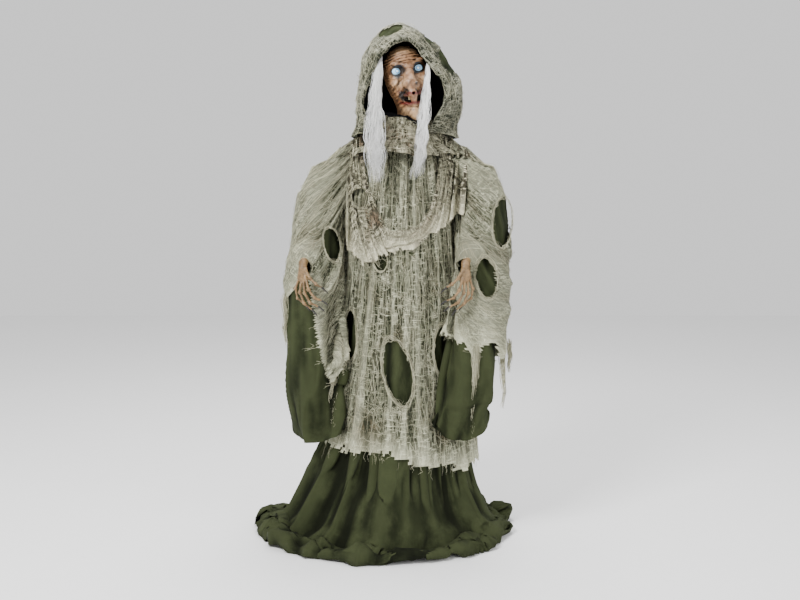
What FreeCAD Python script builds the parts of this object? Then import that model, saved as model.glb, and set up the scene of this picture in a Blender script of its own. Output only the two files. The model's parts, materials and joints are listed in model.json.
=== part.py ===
"""Standing animated witch figure: a steel stand with a turning head, lifting arms and hanging cloth.

Frame: +Z up, +X to the viewer's right, the figure faces -Y, origin on the floor under the pole.
Millimetres throughout. Names use the figure's own left (+X) and right (-X).
"""

import FreeCAD, Part
import math
import os

import Sketcher
from FreeCAD import Matrix, Placement, Rotation, Vector

doc = FreeCAD.newDocument("WitchFigure")
sheet = doc.addObject("Spreadsheet::Sheet", "dims")

# ---------------------------------------------------------------- driving dimensions
DIMENSIONS = {
    # stand
    "mat_radius": 190, "mat_thickness": 2, "plate_radius": 188, "plate_thickness": 6,
    "flange_radius": 45, "flange_thickness": 6, "socket_radius": 21, "socket_height": 82,
    "bolt_circle": 33, "bolt_radius": 3, "bolt_head_radius": 5, "bolt_head_height": 5,
    "pole_radius": 16, "pole_wall": 2, "slip_fit": 0.1, "pole_split_z": 620, "pole_top_z": 1244,
    "coupler_length": 90, "coupler_radius": 21,
    "screw_length": 9.5, "screw_radius": 3, "screw_gap": 0.2,
    "knob_radius": 9, "knob_height": 8, "knob_stand_off": 7,
    # control box
    "box_width": 124, "box_depth": 46, "box_height": 140, "box_wall": 2.5, "box_bottom_z": 690,
    "box_front_y": 24, "battery_bay_height": 62, "cell_radius": 13.1, "cell_length": 50,
    "cell_pitch": 27.5, "board_thickness": 1.6, "speaker_radius": 26, "switch_travel": 4,
    "door_hinge_radius": 2.2, "door_pin_radius": 1.2, "knuckle_length": 12, "door_thickness": 2.5,
    "cover_screw_x": 55, "cover_screw_drop": 8, "boss_radius": 5.2, "tap_radius": 1.6, "tap_depth": 16,
    "clear_radius": 1.7, "clamp_height": 24, "saddle_width": 44, "speaker_x": -24, "speaker_rise": 38,
    "switch_drop": 40, "switch_stem_depth": 3.6, "switch_stem_height": 6, "switch_play": 0.2,
    "switch_flange": 9, "small_gap": 0.5,
    # shoulders
    "bar_z": 1262, "bar_radius": 11, "bar_wall": 2, "bar_half": 188, "tee_half": 58, "tee_radius": 16,
    "tee_drop": 46, "neck_post_radius": 12.5, "neck_post_wall": 2, "neck_post_foot_z": 1280,
    "neck_plate_z": 1350, "neck_plate_radius": 54, "neck_plate_thickness": 4,
    "neck_bush_radius": 10.4, "neck_bush_length": 32, "neck_bush_flange_radius": 15, "neck_shaft_radius": 6,
    "neck_shaft_grip": 28, "running_fit": 0.05, "motor_screw_x": 10.5, "motor_shaft_radius": 2.5,
    "gear_boss_radius": 12, "gear_boss_height": 9,
    "neck_shaft_top_z": 1478, "gear_module": 1.5, "gear_teeth": 30, "pinion_teeth": 15,
    "gear_width": 9, "gear_backlash": 0.35, "motor_radius": 15.5, "motor_length": 44,
    # chest
    "rib_z": 1120, "rib_thickness": 8, "chest_screw_x": 62, "chest_wall": 2.5,
    "hoop_z": 978, "hoop_radius": 150, "hoop_wire": 3,
    # arms
    "pin_radius": 6, "pin_reach": 243, "hub_inner_x": 204, "hub_outer_x": 233, "hub_radius": 18,
    "arm_tube_radius": 9, "arm_tube_wall": 1.5, "arm_socket_radius": 13, "arm_socket_length": 50,
    "socket_start": 22, "elbow_radius": 16,
    "shoulder_x": 218, "elbow_x": 300, "elbow_y": 5, "elbow_z": 1010,
    "right_wrist_x": 327, "left_wrist_x": 204, "wrist_y": -225, "wrist_z": 955,
    "cuff_radius": 17, "cuff_depth": 34,
    # head
    "head_x": 10, "head_y": -27, "head_z": 1562, "head_radius": 77, "head_half_height": 114,
    "mask_wall": 4, "mask_split_y": -5, "eye_radius": 15.5, "eye_gap": 37.5, "eye_above": 30, "eye_forward": 48,
    "mouth_width": 56, "mouth_height": 30, "mouth_z": -69, "mouth_back": 66,
    "nose_length": 70, "nose_root_radius": 19, "nose_tip_radius": 8, "chin_drop": 106,
    "tooth_radius": 3.4, "tooth_tip_radius": 1.8, "tooth_length": 10, "lamp_radius": 3, "lamp_length": 9,
    "neck_hole_radius": 26, "mount_disc_thickness": 8, "mount_stem_radius": 11, "mount_stem_length": 40,
    "head_tilt_deg": 10, "head_yaw_deg": 10,
    "hood_x": 17, "hood_y": 25, "hood_z": 1556, "hood_radius": 176, "hood_half_height": 194,
    "hood_wall": 6, "lining_wall": 3, "hood_hem_z": 1412, "hood_opening_rx": 120,
    "hood_opening_rz": 150, "hood_opening_z": 1540,
    "hair_thickness": 9,
    # cloth
    "tunic_wall": 4, "cowl_wall": 4, "robe_wall": 3, "sleeve_wall": 3, "sleeve_layer_gap": 1.5,
    "train_drop": 8,
}

# Cross-sections of the soft shells, from top to bottom: name, height, centre x, centre y, half width,
# half depth.
SECTIONS = {
    "chest": [
        ("neck", 1338, 0, 0, 64, 54), ("collar", 1315, 0, 0, 96, 64), ("shoulder", 1270, 0, 0, 152, 84),
        ("armpit", 1200, 0, 0, 152, 92), ("rib", 1124, 0, 0, 134, 92), ("waist", 1050, 0, 0, 112, 82),
    ],
    "robe": [
        ("neck", 1344, 0, 0, 86, 72), ("shoulder", 1272, 0, 0, 172, 98), ("armpit", 1200, 0, 0, 168, 106),
        ("waist", 1040, 0, 0, 150, 120), ("hoop", 985, 0, 0, 161, 161),
        ("thigh", 600, 0, 0, 215, 183), ("knee", 300, 0, 0, 268, 208),
        ("shin", 130, -20, -15, 325, 262), ("ankle", 48, -45, -30, 385, 325), ("train", 0, -55, -37, 450, 395),
    ],
    "tunic": [
        ("neck", 1356, 0, 0, 100, 86), ("shoulder", 1295, 0, 0, 182, 112), ("armpit", 1200, 0, 0, 190, 124),
        ("breast", 1080, 0, 0, 194, 150), ("hip", 900, 0, 0, 212, 178), ("thigh", 600, 0, 0, 255, 205),
        ("hem", 262, 0, -4, 302, 232),
    ],
    "cowl": [
        ("neck", 1404, 0, 0, 96, 86), ("collar", 1376, 0, 0, 136, 116), ("shoulder", 1306, 0, 0, 196, 134),
        ("armpit", 1200, 0, 0, 198, 150), ("breast", 1080, 0, 0, 200, 176), ("drape", 985, 0, 0, 206, 192),
    ],
    "right_sleeve": [
        ("top", 1328, 250, 5, 34, 42), ("shoulder", 1270, 256, 5, 48, 66), ("upper", 1200, 272, 3, 62, 84),
        ("arm", 1100, 292, 0, 78, 100), ("elbow", 990, 310, -55, 82, 140), ("cuff", 800, 312, -112, 80, 112),
        ("hang", 320, 309, -192, 76, 82),
    ],
    "left_sleeve": [
        ("top", 1328, 250, 5, 34, 42), ("shoulder", 1270, 256, 5, 48, 66), ("upper", 1200, 272, 3, 62, 84),
        ("arm", 1100, 292, 0, 78, 100), ("elbow", 990, 292, -62, 84, 140), ("cuff", 800, 288, -138, 78, 104),
        ("hang", 320, 238, -258, 84, 58),
    ],
    "right_hair": [
        ("root", 1612, -82, -100, 12, 6), ("jaw", 1500, -98, -126, 14, 7), ("neck", 1400, -106, -160, 18, 8),
        ("chest", 1300, -108, -190, 20, 8), ("tip", 1200, -112, -200, 12, 5),
    ],
    "left_hair": [
        ("root", 1612, 82, -100, 11, 6), ("jaw", 1500, 76, -126, 12, 7), ("neck", 1400, 70, -160, 14, 8),
        ("chest", 1300, 58, -190, 15, 8), ("tip", 1214, 34, -200, 9, 5),
    ],
}
SECTION_VALUES = ("z", "cx", "cy", "rx", "ry")


def fill_sheet():
    """Writes every driving dimension to the sheet, one alias per cell."""
    values = dict(DIMENSIONS)
    for part, rows in SECTIONS.items():
        for name, *numbers in rows:
            for value_name, number in zip(SECTION_VALUES, numbers):
                values[f"{part}_{name}_{value_name}"] = number
    for row, (alias, value) in enumerate(values.items(), 1):
        sheet.set(f"A{row}", alias)
        sheet.set(f"B{row}", str(value))
        sheet.setAlias(f"B{row}", alias)
    doc.recompute()


fill_sheet()


def size(alias):
    """The value of one driving dimension."""
    return float(sheet.get(alias))


PIECES = []  # every sub-part, in the order made
SCREWS = []  # the identical M3 screws of the cover, the neck motor and the chest


def piece(obj, label):
    """Registers obj as a sub-part whose file is named label."""
    obj.Label = label
    PIECES.append(obj)
    return obj


def bind(obj, **expressions):
    """Binds properties to expressions; a double underscore in a name stands for a dot."""
    for name, expression in expressions.items():
        obj.setExpression(name.replace("__", "."), expression)
    return obj


# ---------------------------------------------------------------- Part primitives bound to the sheet
AXES = {"Z": Rotation(), "X": Rotation(Vector(0, 1, 0), 90), "Y": Rotation(Vector(1, 0, 0), -90)}


def cylinder(radius, length, at=("0", "0", "0"), axis="Z"):
    """A cylinder along a main axis, its foot at the three expressions."""
    obj = doc.addObject("Part::Cylinder", "cylinder")
    obj.Placement = Placement(Vector(), AXES[axis])
    bind(obj, Radius=radius, Height=length)
    bind(obj, Placement__Base__x=at[0], Placement__Base__y=at[1], Placement__Base__z=at[2])
    return obj


def block(width, depth, height, at):
    """A box whose lowest corner is at the three expressions."""
    obj = doc.addObject("Part::Box", "block")
    bind(obj, Length=width, Width=depth, Height=height)
    bind(obj, Placement__Base__x=at[0], Placement__Base__y=at[1], Placement__Base__z=at[2])
    return obj


def fuse(*objects):
    obj = doc.addObject("Part::MultiFuse", "fuse")
    obj.Shapes = list(objects)
    return obj


def cut(base, *tools):
    obj = doc.addObject("Part::Cut", "cut")
    obj.Base = base
    obj.Tool = tools[0] if len(tools) == 1 else fuse(*tools)
    return obj


def group(*objects):
    """Several separate solids kept in one node."""
    obj = doc.addObject("Part::Compound", "group")
    obj.Links = list(objects)
    return obj


def tube(radius, wall, foot, top, at=("0", "0"), axis="Z"):
    """A round tube between two stations on a main axis."""
    places = {"Z": (*at, foot), "X": (foot, *at), "Y": (at[0], foot, at[1])}[axis]
    length = f"({top}) - ({foot})"
    return cut(cylinder(radius, length, places, axis), cylinder(f"{radius} - {wall}", length, places, axis))


def solid(shape, name="shape"):
    """A Part::Feature that holds a shape made with Part's own functions."""
    obj = doc.addObject("Part::Feature", name)
    obj.Shape = shape
    return obj


# ---------------------------------------------------------------- PartDesign helpers
def new_body(label):
    return piece(doc.addObject("PartDesign::Body", label), label)


def sketch_on(body, role="XY_Plane"):
    sketch = body.newObject("Sketcher::SketchObject", "sketch")
    plane = next(f for f in body.Origin.OriginFeatures if f.Role == role)
    sketch.AttachmentSupport = [(plane, "")]
    sketch.MapMode = "FlatFace"
    return sketch


def add_circle(sketch, radius, centre_x=None):
    """A circle centred on the sketch's origin, or centre_x along its horizontal axis."""
    index = sketch.addGeometry(Part.Circle(Vector(1 if centre_x else 0, 0, 0), Vector(0, 0, 1), 1))
    if centre_x is None:
        sketch.addConstraint(Sketcher.Constraint("Coincident", index, 3, -1, 1))
    else:
        sketch.addConstraint(Sketcher.Constraint("PointOnObject", index, 3, -1))
        place = sketch.addConstraint(Sketcher.Constraint("DistanceX", -1, 1, index, 3, 1))
        sketch.setExpression(f"Constraints[{place}]", centre_x)
    across = sketch.addConstraint(Sketcher.Constraint("Radius", index, 1))
    sketch.setExpression(f"Constraints[{across}]", radius)
    return sketch


def pad(body, sketch, length):
    feature = body.newObject("PartDesign::Pad", "pad")
    feature.Profile = sketch
    bind(feature, Length=length)
    return feature


def pocket(body, sketch, length=None, upward=True):
    """A pocket cut through all, or to a length, on the side that the solid lies on."""
    feature = body.newObject("PartDesign::Pocket", "pocket")
    feature.Profile = sketch
    feature.Reversed = upward
    if length is None:
        feature.Type = 1
    else:
        bind(feature, Length=length)
    return feature


def ring_of(body, feature, count):
    """Repeats a feature about the body's Z axis."""
    doc.recompute()
    pattern = body.newObject("PartDesign::PolarPattern", "pattern")
    pattern.Originals = [feature]
    axis = next(f for f in body.Origin.OriginFeatures if f.Role == "Z_Axis")
    pattern.Axis = (axis, [""])
    pattern.Angle, pattern.Occurrences = 360, count
    body.Tip = pattern
    return pattern


def lift(body, z):
    """Stands the body at a height."""
    return bind(body, Placement__Base__z=z)


# ---------------------------------------------------------------- stand
BOLTS = 4
BOX_MIDDLE = "dims.box_bottom_z + dims.box_height / 2"


def make_base():
    mat = new_body("base_mat")
    pad(mat, add_circle(sketch_on(mat), "dims.mat_radius"), "dims.mat_thickness")

    plate = new_body("base_plate")
    pad(plate, add_circle(sketch_on(plate), "dims.plate_radius"), "dims.plate_thickness")
    hole = pocket(plate, add_circle(sketch_on(plate), "dims.bolt_radius + dims.screw_gap", "dims.bolt_circle"))
    ring_of(plate, hole, BOLTS)
    lift(plate, "dims.mat_thickness")

    socket = new_body("pole_socket")
    pad(socket, add_circle(sketch_on(socket), "dims.flange_radius"), "dims.flange_thickness")
    pad(socket, add_circle(sketch_on(socket), "dims.socket_radius"), "dims.socket_height")
    pocket(socket, add_circle(sketch_on(socket), "dims.pole_radius + dims.slip_fit"))
    hole = pocket(socket, add_circle(sketch_on(socket), "dims.bolt_radius + dims.screw_gap", "dims.bolt_circle"),
                  "dims.flange_thickness")
    ring_of(socket, hole, BOLTS)
    lift(socket, "dims.mat_thickness + dims.plate_thickness")
    return socket


def make_socket_bolts():
    """Hexagon bolts that hold the socket's flange to the plate."""
    foot, seat = "dims.mat_thickness + 0.5", "dims.mat_thickness + dims.plate_thickness + dims.flange_thickness"
    bolts = []
    for k in range(BOLTS):
        angle = 360 / BOLTS * k
        x, y = f"dims.bolt_circle * cos({angle})", f"dims.bolt_circle * sin({angle})"
        head = doc.addObject("Part::Prism", "head")
        head.Polygon = 6
        bind(head, Circumradius="dims.bolt_head_radius", Height="dims.bolt_head_height",
             Placement__Base__x=x, Placement__Base__y=y, Placement__Base__z=seat)
        shank = cylinder("dims.bolt_radius", f"({seat}) - ({foot})", (x, y, foot))
        bolts.append(fuse(head, shank))
    return piece(group(*bolts), "socket_bolts")


def thumbscrew(z, bore_radius):
    """A screw with a round knob that points at the pole from the front, its tip just clear of the pole."""
    tip = f"-({bore_radius}) + 0.02"
    reach = f"dims.socket_radius + dims.knob_stand_off - ({bore_radius}) + 0.02"
    shank = cylinder("dims.screw_radius", reach, ("0", f"-(dims.socket_radius + dims.knob_stand_off)", z), "Y")
    knob_y = "-(dims.socket_radius + dims.knob_stand_off + dims.knob_height)"
    knob = cylinder("dims.knob_radius", "dims.knob_height", ("0", knob_y, z), "Y")
    return fuse(shank, knob)


def screw_hole(z):
    """The clear hole for a thumbscrew, through a sleeve's front wall."""
    return cylinder("dims.screw_radius + dims.screw_gap", "dims.socket_radius + 4",
                    ("0", "-(dims.socket_radius + 4)", z), "Y")


def make_poles(socket):
    clamp_z = "dims.mat_thickness + dims.plate_thickness + dims.socket_height - 18"
    PIECES.remove(socket)
    socket.Label = "socket_casting"
    piece(cut(socket, screw_hole(clamp_z)), "pole_socket")
    bore = "dims.pole_radius + dims.slip_fit"
    foot = "dims.mat_thickness + dims.plate_thickness"
    piece(tube("dims.pole_radius", "dims.pole_wall", foot, "dims.pole_split_z"), "lower_pole")
    piece(tube("dims.pole_radius", "dims.pole_wall", "dims.pole_split_z", "dims.pole_top_z"), "upper_pole")
    low, high = "dims.pole_split_z - dims.coupler_length / 4", "dims.pole_split_z + dims.coupler_length / 4"
    sleeve = tube("dims.coupler_radius", "(dims.coupler_radius - dims.pole_radius - dims.slip_fit)",
                  "dims.pole_split_z - dims.coupler_length / 2", "dims.pole_split_z + dims.coupler_length / 2")
    piece(cut(sleeve, screw_hole(low), screw_hole(high)), "pole_coupler")
    clamps = [thumbscrew(z, bore) for z in (clamp_z, low, high, BOX_MIDDLE)]
    piece(group(*clamps), "pole_thumbscrews")


# ---------------------------------------------------------------- control box behind the lower pole
HALF_WIDTH = "dims.box_width / 2"
BACK_Y = "dims.box_front_y + dims.box_depth"
BAY_TOP = "dims.box_bottom_z + dims.battery_bay_height"
BOX_TOP = "dims.box_bottom_z + dims.box_height"
SCREW_Z = f"{BOX_TOP} - dims.cover_screw_drop"
COVER_SCREWS = ("-dims.cover_screw_x", "dims.cover_screw_x")
SWITCH_Z = f"{BOX_TOP} - dims.switch_drop"
SWITCH_Y = "dims.box_front_y + dims.box_depth / 2"
HINGE_Y = "dims.box_front_y + dims.box_depth + dims.door_hinge_radius"
HINGE_Z = "dims.box_bottom_z - dims.door_hinge_radius - 0.4"
KNUCKLES = ("-50", "38")  # where each of the box's hinge knuckles starts along X
HINGE_PINS = ("-50", "26")  # where each hinge pin starts; each is as long as two knuckles
DOOR_BARRELS = ("-37.7", "26.2")  # where each of the door's barrels starts
SPEAKER_SLOTS, SLOT_PITCH = 7, 6
BATTERY_CELLS = 4


def make_control_box():
    """A moulded housing, open at the back, with a shelf between the battery bay and the electronics."""
    wall, length = "dims.box_wall", "dims.knuckle_length"
    left, front = f"-({HALF_WIDTH}) + {wall}", f"dims.box_front_y + {wall}"
    outer = block("dims.box_width", "dims.box_depth", "dims.box_height",
                  (f"-({HALF_WIDTH})", "dims.box_front_y", "dims.box_bottom_z"))
    bay = block(f"dims.box_width - 2 * {wall}", "dims.box_depth", f"dims.battery_bay_height - 2 * {wall}",
                (left, front, f"dims.box_bottom_z + {wall}"))
    room = block(f"dims.box_width - 2 * {wall}", "dims.box_depth",
                 f"dims.box_height - dims.battery_bay_height - {wall}", (left, front, BAY_TOP))
    slot_depth = "dims.switch_stem_depth + 4 * dims.switch_play"
    slot_height = "2 * dims.switch_travel + dims.switch_stem_height + 2 * dims.switch_play"
    slot = block(f"3 * {wall}", slot_depth, slot_height,
                 (f"{HALF_WIDTH} - 2 * {wall}", f"({SWITCH_Y}) - ({slot_depth}) / 2",
                  f"({SWITCH_Z}) - ({slot_height}) / 2"))
    knuckles = [cylinder("dims.door_hinge_radius", length, (x, HINGE_Y, HINGE_Z), "X") for x in KNUCKLES]
    webs = [block(length, "8 + dims.door_hinge_radius", "1.8", (x, f"({BACK_Y}) - 8", "dims.box_bottom_z - 1.8"))
            for x in KNUCKLES]
    pins = [cylinder("dims.door_pin_radius", f"2 * {length}", (x, HINGE_Y, HINGE_Z), "X") for x in HINGE_PINS]
    bosses = [cylinder("dims.boss_radius", f"dims.box_depth - {wall}", (x, front, SCREW_Z), "Y")
              for x in COVER_SCREWS]
    height, foot = "dims.clamp_height", f"{BOX_MIDDLE} - dims.clamp_height / 2"
    clamp = cylinder("dims.socket_radius", height, ("0", "0", foot))
    saddle = block("dims.saddle_width", "18", height, ("-dims.saddle_width / 2", "8", foot))
    bore = cylinder("dims.pole_radius + dims.slip_fit", f"{height} + 6", ("0", "0", f"{foot} - 3"))
    taps = [cylinder("dims.tap_radius", "dims.tap_depth + 4", (x, f"({BACK_Y}) - dims.tap_depth", SCREW_Z), "Y")
            for x in COVER_SCREWS]
    housing = fuse(cut(outer, bay, room, slot), clamp, saddle, *knuckles, *webs, *pins, *bosses)
    piece(cut(housing, bore, screw_hole(BOX_MIDDLE), *taps), "control_box")


def make_box_cover():
    """The back cover of the electronics, with slots in front of the speaker."""
    gap = "dims.small_gap"
    plate = block(f"dims.box_width - 2 * {gap}", "dims.door_thickness",
                  f"dims.box_height - dims.battery_bay_height - 2 * {gap}",
                  (f"-({HALF_WIDTH}) + {gap}", BACK_Y, f"({BAY_TOP}) + {gap}"))
    slots = [block("30", "6", "2.4", ("dims.speaker_x - 15", f"({BACK_Y}) - 1",
                                      f"({BAY_TOP}) + {20 + SLOT_PITCH * k}")) for k in range(SPEAKER_SLOTS)]
    holes = [cylinder("dims.clear_radius", "6", (x, f"({BACK_Y}) - 1", SCREW_Z), "Y") for x in COVER_SCREWS]
    piece(cut(plate, *slots, *holes), "speaker_cover")


def machine_screw(head_foot, along):
    """A pan-headed M3 screw; head_foot is the centre of the head's seat and along points out of the hole."""
    thread_radius, head_radius, head_height, root = 1.5, 3, 1.8, 0.5
    length = size("screw_length")
    shank = Part.makeCylinder(thread_radius, length + root, head_foot - along * length, along)
    return shank.fuse(Part.makeCylinder(head_radius, head_height, head_foot, along)).removeSplitter()


def make_box_inside():
    """Speaker, circuit board and cells."""
    x, y_back, z = "dims.speaker_x", f"({BACK_Y}) - 0.3", f"({BAY_TOP}) + dims.speaker_rise"
    ring = cylinder("dims.speaker_radius", "3", (x, f"({y_back}) - 3", z), "Y")
    cone = doc.addObject("Part::Cone", "cone")
    cone.Placement = Placement(Vector(), AXES["Y"])
    bind(cone, Radius1="dims.speaker_radius * 0.45", Radius2="dims.speaker_radius - 2", Height="12",
         Placement__Base__x=x, Placement__Base__y=f"({y_back}) - 15", Placement__Base__z=z)
    magnet = cylinder("dims.speaker_radius * 0.6", "9", (x, f"({y_back}) - 24", z), "Y")
    dish = cylinder("dims.speaker_radius - 5", "2", (x, f"({y_back}) - 2", z), "Y")
    piece(cut(fuse(ring, cone, magnet), dish), "speaker")

    board_y = "dims.box_front_y + dims.box_wall + 4"
    board_face = f"{board_y} + dims.board_thickness"
    board = block("92", "dims.board_thickness", "58", ("-42", board_y, f"({BAY_TOP}) + 8"))
    chip_sizes = (("14", "14", "18", 40), ("8", "20", "36", 14), ("10", "6", "-2", 12))
    chips = [block(w, "3", h, (x, board_face, f"({BAY_TOP}) + {rise}")) for w, h, x, rise in chip_sizes]
    cans = [cylinder("4", "9", (x, board_face, f"({BAY_TOP}) + 24"), "Y") for x in ("16", "27")]
    piece(fuse(board, *chips, *cans), "circuit_board")

    cells = []
    cell_foot, button_height = "dims.box_bottom_z + dims.box_wall + 0.2", "2"
    for k in range(BATTERY_CELLS):
        x = f"dims.cell_pitch * {k - (BATTERY_CELLS - 1) / 2}"
        y = "dims.box_front_y + dims.box_wall + dims.cell_radius + 4"
        can_length = f"dims.cell_length - {button_height}"
        can = cylinder("dims.cell_radius", can_length, (x, y, cell_foot))
        button = cylinder("3.5", button_height, (x, y, f"{cell_foot} + {can_length}"))
        cells.append(fuse(can, button))
    piece(group(*cells), "battery_cells")


def make_battery_door():
    """The door of the battery bay, hinged along its lower edge."""
    gap, barrel_length = "0.3", "dims.knuckle_length - dims.small_gap"
    plate = block("dims.box_width - 2 * dims.small_gap", "dims.door_thickness", "dims.battery_bay_height - 1.5",
                  (f"-({HALF_WIDTH}) + dims.small_gap", f"({BACK_Y}) + {gap}", f"dims.box_bottom_z + {gap}"))
    barrels = []
    for x in DOOR_BARRELS:
        ring = cylinder("dims.door_hinge_radius", barrel_length, (x, HINGE_Y, HINGE_Z), "X")
        hole = cylinder("dims.door_pin_radius + dims.running_fit", barrel_length, (x, HINGE_Y, HINGE_Z), "X")
        web = block(barrel_length, "2", "dims.door_hinge_radius + 1",
                    (x, f"({HINGE_Y}) + dims.door_hinge_radius - 2", HINGE_Z))
        barrels.append(cut(fuse(ring, web), hole))
    latch = block("14", "3", "3", ("-7", f"({BACK_Y}) + {gap} + dims.door_thickness", f"({BAY_TOP}) - 9"))
    piece(fuse(plate, latch, *barrels), "battery_door")


def make_mode_switch():
    """The sliding knob of the off, on and sensor switch, in the box's left wall."""
    flange_thickness = "2"
    x = f"{HALF_WIDTH} - dims.box_wall - {flange_thickness}"
    stem = block("dims.box_wall + 5", "dims.switch_stem_depth", "dims.switch_stem_height",
                 (x, f"({SWITCH_Y}) - dims.switch_stem_depth / 2", f"({SWITCH_Z}) - dims.switch_stem_height / 2"))
    flange = block(flange_thickness, "dims.switch_flange", "dims.switch_flange",
                   (x, f"({SWITCH_Y}) - dims.switch_flange / 2", f"({SWITCH_Z}) - dims.switch_flange / 2"))
    piece(fuse(stem, flange), "mode_switch")


# ---------------------------------------------------------------- shoulders and neck drive
NECK_TOP = "dims.neck_plate_z + dims.neck_plate_thickness"
FLANGE_HEIGHT = 3
NECK_CUP = "(dims.neck_post_radius + 4)"
# The tee's bolts: place along X, height, and the tube and cup that each passes between.
TEE_BOLTS = (("0", "dims.pole_top_z - 26", "dims.pole_radius", "dims.socket_radius"),
             ("-42", "dims.bar_z", "dims.bar_radius", "dims.tee_radius"),
             ("42", "dims.bar_z", "dims.bar_radius", "dims.tee_radius"),
             ("0", "dims.bar_z + 31", "dims.neck_post_radius", NECK_CUP))


def make_shoulder_frame():
    bar_z, tee_foot = "dims.bar_z", "dims.pole_top_z - dims.tee_drop"
    cup_height, cup_drop = "60", "20"
    pole_cup = cylinder("dims.socket_radius", "dims.tee_drop + 4", ("0", "0", tee_foot))
    arm = cylinder("dims.tee_radius", "2 * dims.tee_half", ("-dims.tee_half", "0", bar_z), "X")
    neck_cup = cylinder(NECK_CUP, cup_height, ("0", "0", bar_z))
    pole_bore = cylinder("dims.pole_radius + dims.slip_fit", "dims.tee_drop", ("0", "0", tee_foot))
    bar_bore = cylinder("dims.bar_radius + dims.slip_fit", "2 * dims.tee_half", ("-dims.tee_half", "0", bar_z), "X")
    neck_bore = cylinder("dims.neck_post_radius + dims.slip_fit", cup_height, ("0", "0", "dims.neck_post_foot_z"))
    holes = [cylinder("dims.screw_radius + dims.screw_gap", "30", (x, "0", z), "Y") for x, z, _, _ in TEE_BOLTS]
    piece(cut(fuse(pole_cup, arm, neck_cup), pole_bore, bar_bore, neck_bore, *holes), "shoulder_tee")

    bolts, seat_gap, tip_gap = [], "2", "0.1"
    for x, z, tube_radius, cup_radius in TEE_BOLTS:
        tip, seat = f"{tube_radius} + {tip_gap}", f"{cup_radius} + {seat_gap}"
        shank = cylinder("dims.screw_radius", f"({seat}) - ({tip})", (x, tip, z), "Y")
        head = cylinder("dims.bolt_head_radius", "4", (x, seat, z), "Y")
        bolts.append(fuse(shank, head))
    piece(group(*bolts), "tee_bolts")
    piece(tube("dims.bar_radius", "dims.bar_wall", "-dims.bar_half", "dims.bar_half", ("0", bar_z), "X"),
          "shoulder_bar")
    piece(tube("dims.neck_post_radius", "dims.neck_post_wall", "dims.neck_post_foot_z", "dims.neck_plate_z"),
          "neck_post")


def gear_shape(teeth, width, bore):
    """An involute spur gear about Z, its flanks thinned for backlash."""
    module, pressure = size("gear_module"), math.radians(20)
    pitch, thin = module * teeth / 2, size("gear_backlash") / 2
    base, tip, root = pitch * math.cos(pressure), pitch + 0.9 * module, pitch - 1.2 * module
    involute = lambda angle: math.tan(angle) - angle
    half_tooth = math.pi / (2 * teeth) - thin / (2 * pitch)
    flank_steps = 5
    start = max(base, root)
    edges, outline = [], []
    for tooth in range(teeth):
        middle = 2 * math.pi * tooth / teeth
        flank = []
        for step in range(flank_steps + 1):
            radius = start + (tip - start) * step / flank_steps
            spread = half_tooth + involute(pressure) - involute(math.acos(min(1, base / radius)))
            flank.append((radius, spread))
        rising = [(root, flank[0][1])] + flank
        outline += [(r, middle - a) for r, a in rising] + [(r, middle + a) for r, a in reversed(rising)]
    points = [Vector(r * math.cos(a), r * math.sin(a), 0) for r, a in outline]
    for first, second in zip(points, points[1:] + points[:1]):
        if first.distanceToPoint(second) > 1e-6:
            edges.append(Part.LineSegment(first, second).toShape())
    face = Part.Face(Part.Wire(edges))
    return face.extrude(Vector(0, 0, width)).cut(Part.makeCylinder(bore, width))


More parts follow.
